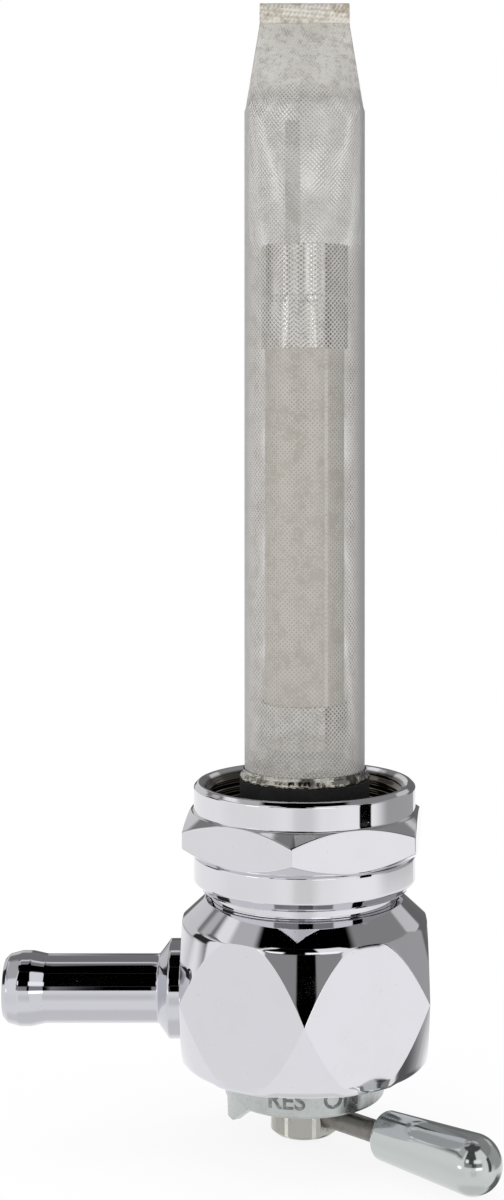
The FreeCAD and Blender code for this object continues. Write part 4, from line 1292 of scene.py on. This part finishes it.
class TAP_OT_studio(bpy.types.Operator):
    """Set up the pale floor, the white surround, the lamps and the camera."""
    bl_idname = "tap.studio"
    bl_label = "Studio"

    def execute(self, context):
        scene = context.scene
        studio = scene.tap_studio
        scene.view_settings.view_transform = "Standard"
        self.surround(scene, studio)
        self.floor()
        for name, place_at, side, part in softboxes:
            self.softbox(name, place_at, side, studio.lamp_power * part)
        self.camera(scene, studio)
        return {"FINISHED"}

    def softbox(self, name, place_at, side, power):
        """Square area lamp that faces a point just over the nut's mouth. Reflections don't show it."""
        middle = (0.0, 0.0, 10.0 * mm)
        lamp = bpy.data.lights.new(name, "AREA")
        lamp.size = side
        lamp.energy = power
        piece = new_object(name, lamp)
        towards = np.asarray(middle) - np.asarray(place_at)
        towards = towards / np.linalg.norm(towards)
        tilt = math.acos(-towards[2])
        heading = math.atan2(towards[1], towards[0]) - math.pi / 2
        piece.location = place_at
        piece.rotation_euler = (tilt, 0, heading)
        piece.visible_glossy = False

    def camera(self, scene, studio):
        """Camera at the photograph's place, with its angle and lens."""
        lens = bpy.data.cameras.new("camera")
        lens.lens = studio.focal_length
        lens.sensor_width = 36.0
        lens.sensor_fit = "AUTO"
        lens.shift_x = studio.shift_right
        lens.shift_y = studio.shift_up
        lens.clip_start = 0.01
        piece = new_object("camera", lens)
        piece.location = (studio.camera_right, -studio.camera_back, studio.camera_height)
        piece.rotation_euler = (math.pi / 2 - studio.camera_pitch, 0, 0)
        scene.camera = piece

    def surround(self, scene, studio):
        """World: plain white to the camera, evenly pale on matt surfaces, and in reflections a white
        tent with dark openings and grey walls."""
        world = bpy.data.worlds.new("white_surround")
        world.use_nodes = True
        scene.world = world
        tree = world.node_tree
        sky = tree.nodes["Background"].inputs
        sky["Color"].default_value = (1.0, 1.0, 1.0, 1.0)
        x, y, z = parts_of(tree, object_place(tree))
        degrees = 360 / full_turn
        azimuth = times(tree, maths(tree, "ARCTAN2", y, x), degrees)
        elevation = times(tree, maths(tree, "ARCSINE", z), degrees)
        tent = 1.0
        for brightness, middle, half_width, height, half_height, soft in tent_patches:
            aside = maths(tree, "PINGPONG", maths(tree, "SUBTRACT", azimuth, middle), 180.0)
            above = maths(tree, "ABSOLUTE", maths(tree, "SUBTRACT", elevation, height))
            within = times(
                tree,
                mapped(tree, aside, (half_width - soft, half_width + soft), (1.0, 0.0)),
                mapped(tree, above, (half_height - soft, half_height + soft), (1.0, 0.0)),
            )
            tent = times_plus(tree, within, maths(tree, "SUBTRACT", brightness, tent), tent)
            if middle == front_opening:
                opening = within
        rays = tree.nodes.new("ShaderNodeLightPath").outputs
        again = maths(tree, "GREATER_THAN", rays["Glossy Depth"], 1.5)
        tent = times_plus(tree, times(tree, again, opening), studio.second_fill, tent)
        straight = maths(tree, "MAXIMUM", rays["Is Camera Ray"], rays["Is Transmission Ray"])
        matt = maths(tree, "SUBTRACT", 1.0, rays["Is Glossy Ray"])
        seen = times_plus(tree, straight, 1.0 - studio.sky_level, studio.sky_level)
        reflected = times(tree, tent, rays["Is Glossy Ray"])
        connect(tree, times_plus(tree, seen, matt, reflected), sky["Strength"])

    def floor(self):
        """Pale disc just under the tap. To the camera it is mostly plain white, with a soft shadow."""
        gap, thickness, middle_radius, radius = 0.15 * mm, 0.01, 0.3, 3.0
        shadow_edges = (12.0 * mm, 60.0 * mm)
        least_glow = 0.86
        top = cad_bounds[0][2] - gap
        bottom = top - thickness
        outline = np.array([(0.0, top), (middle_radius, top), (radius, top), (radius, bottom), (0.0, bottom)])
        disc = surface("floor", turned_points(outline, even_turns(columns=96)), ends="poles")
        disc.data.polygons.foreach_set("use_smooth", np.zeros(len(disc.data.polygons), bool))
        tree, shader = blank_material("floor_white", 0.0, tint_of("floor"))
        shader["Base Color"].default_value = (*tint_of("floor"), 1)
        shader["Roughness"].default_value = 0.9
        x, y = parts_of(tree, object_place(tree))[:2]
        plain = mapped(tree, distance(tree, x, y), shadow_edges, (least_glow, 1.0))
        rays = tree.nodes.new("ShaderNodeLightPath").outputs
        blend = tree.nodes.new("ShaderNodeMixShader")
        connect(tree, times(tree, rays["Is Camera Ray"], plain), blend.inputs[0])
        connect(tree, tree.nodes["Principled BSDF"].outputs[0], blend.inputs[1])
        connect(tree, tree.nodes.new("ShaderNodeEmission").outputs[0], blend.inputs[2])
        connect(tree, blend.outputs[0], tree.nodes["Material Output"].inputs["Surface"])
        disc.data.materials.append(bpy.data.materials["floor_white"])
        disc.visible_glossy = False


class TAP_PT_panel(bpy.types.Panel):
    """Lists the tap's pieces and their sizes."""
    bl_idname = "TAP_PT_panel"
    bl_label = "Fuel Tap"
    bl_space_type = "VIEW_3D"
    bl_region_type = "UI"
    bl_category = "Fuel Tap"

    def draw(self, context):
        for operator in operators:
            self.layout.operator(operator.bl_idname)
        for attribute, group in groups.items():
            self.layout.label(text=group.__doc__)
            for name in group.__annotations__:
                self.layout.prop(getattr(context.scene, attribute), name)


groups = {
    "tap_nut": TapNutSizes,
    "tap_body": TapBodySizes,
    "tap_spigot": TapSpigotSizes,
    "tap_knob": TapKnobSizes,
    "tap_strainer": TapStrainerSizes,
    "tap_marks": TapDialMarks,
    "tap_colours": TapColours,
    "tap_studio": TapStudio,
}

operators = (
    TAP_OT_shared_effects,
    TAP_OT_coupling_nut,
    TAP_OT_valve_body,
    TAP_OT_spigot,
    TAP_OT_dial,
    TAP_OT_lever,
    TAP_OT_strainer,
    TAP_OT_standpipe,
    TAP_OT_studio,
)


def register():
    """Register the property groups, the operators and the panel."""
    for attribute, group in groups.items():
        bpy.utils.register_class(group)
        setattr(bpy.types.Scene, attribute, bpy.props.PointerProperty(type=group))
    for entry in operators + (TAP_PT_panel,):
        bpy.utils.register_class(entry)


def unregister():
    """Undo register."""
    for entry in reversed(operators + (TAP_PT_panel,)):
        bpy.utils.unregister_class(entry)
    for attribute, group in reversed(list(groups.items())):
        delattr(bpy.types.Scene, attribute)
        bpy.utils.unregister_class(group)


def main():
    register()
    bpy.ops.tap.shared_effects()
    bpy.ops.tap.coupling_nut()
    bpy.ops.tap.valve_body()
    bpy.ops.tap.spigot()
    bpy.ops.tap.dial()
    bpy.ops.tap.lever()
    bpy.ops.tap.strainer()
    bpy.ops.tap.standpipe()
    bpy.ops.tap.studio()


if __name__ == "__main__":
    main()
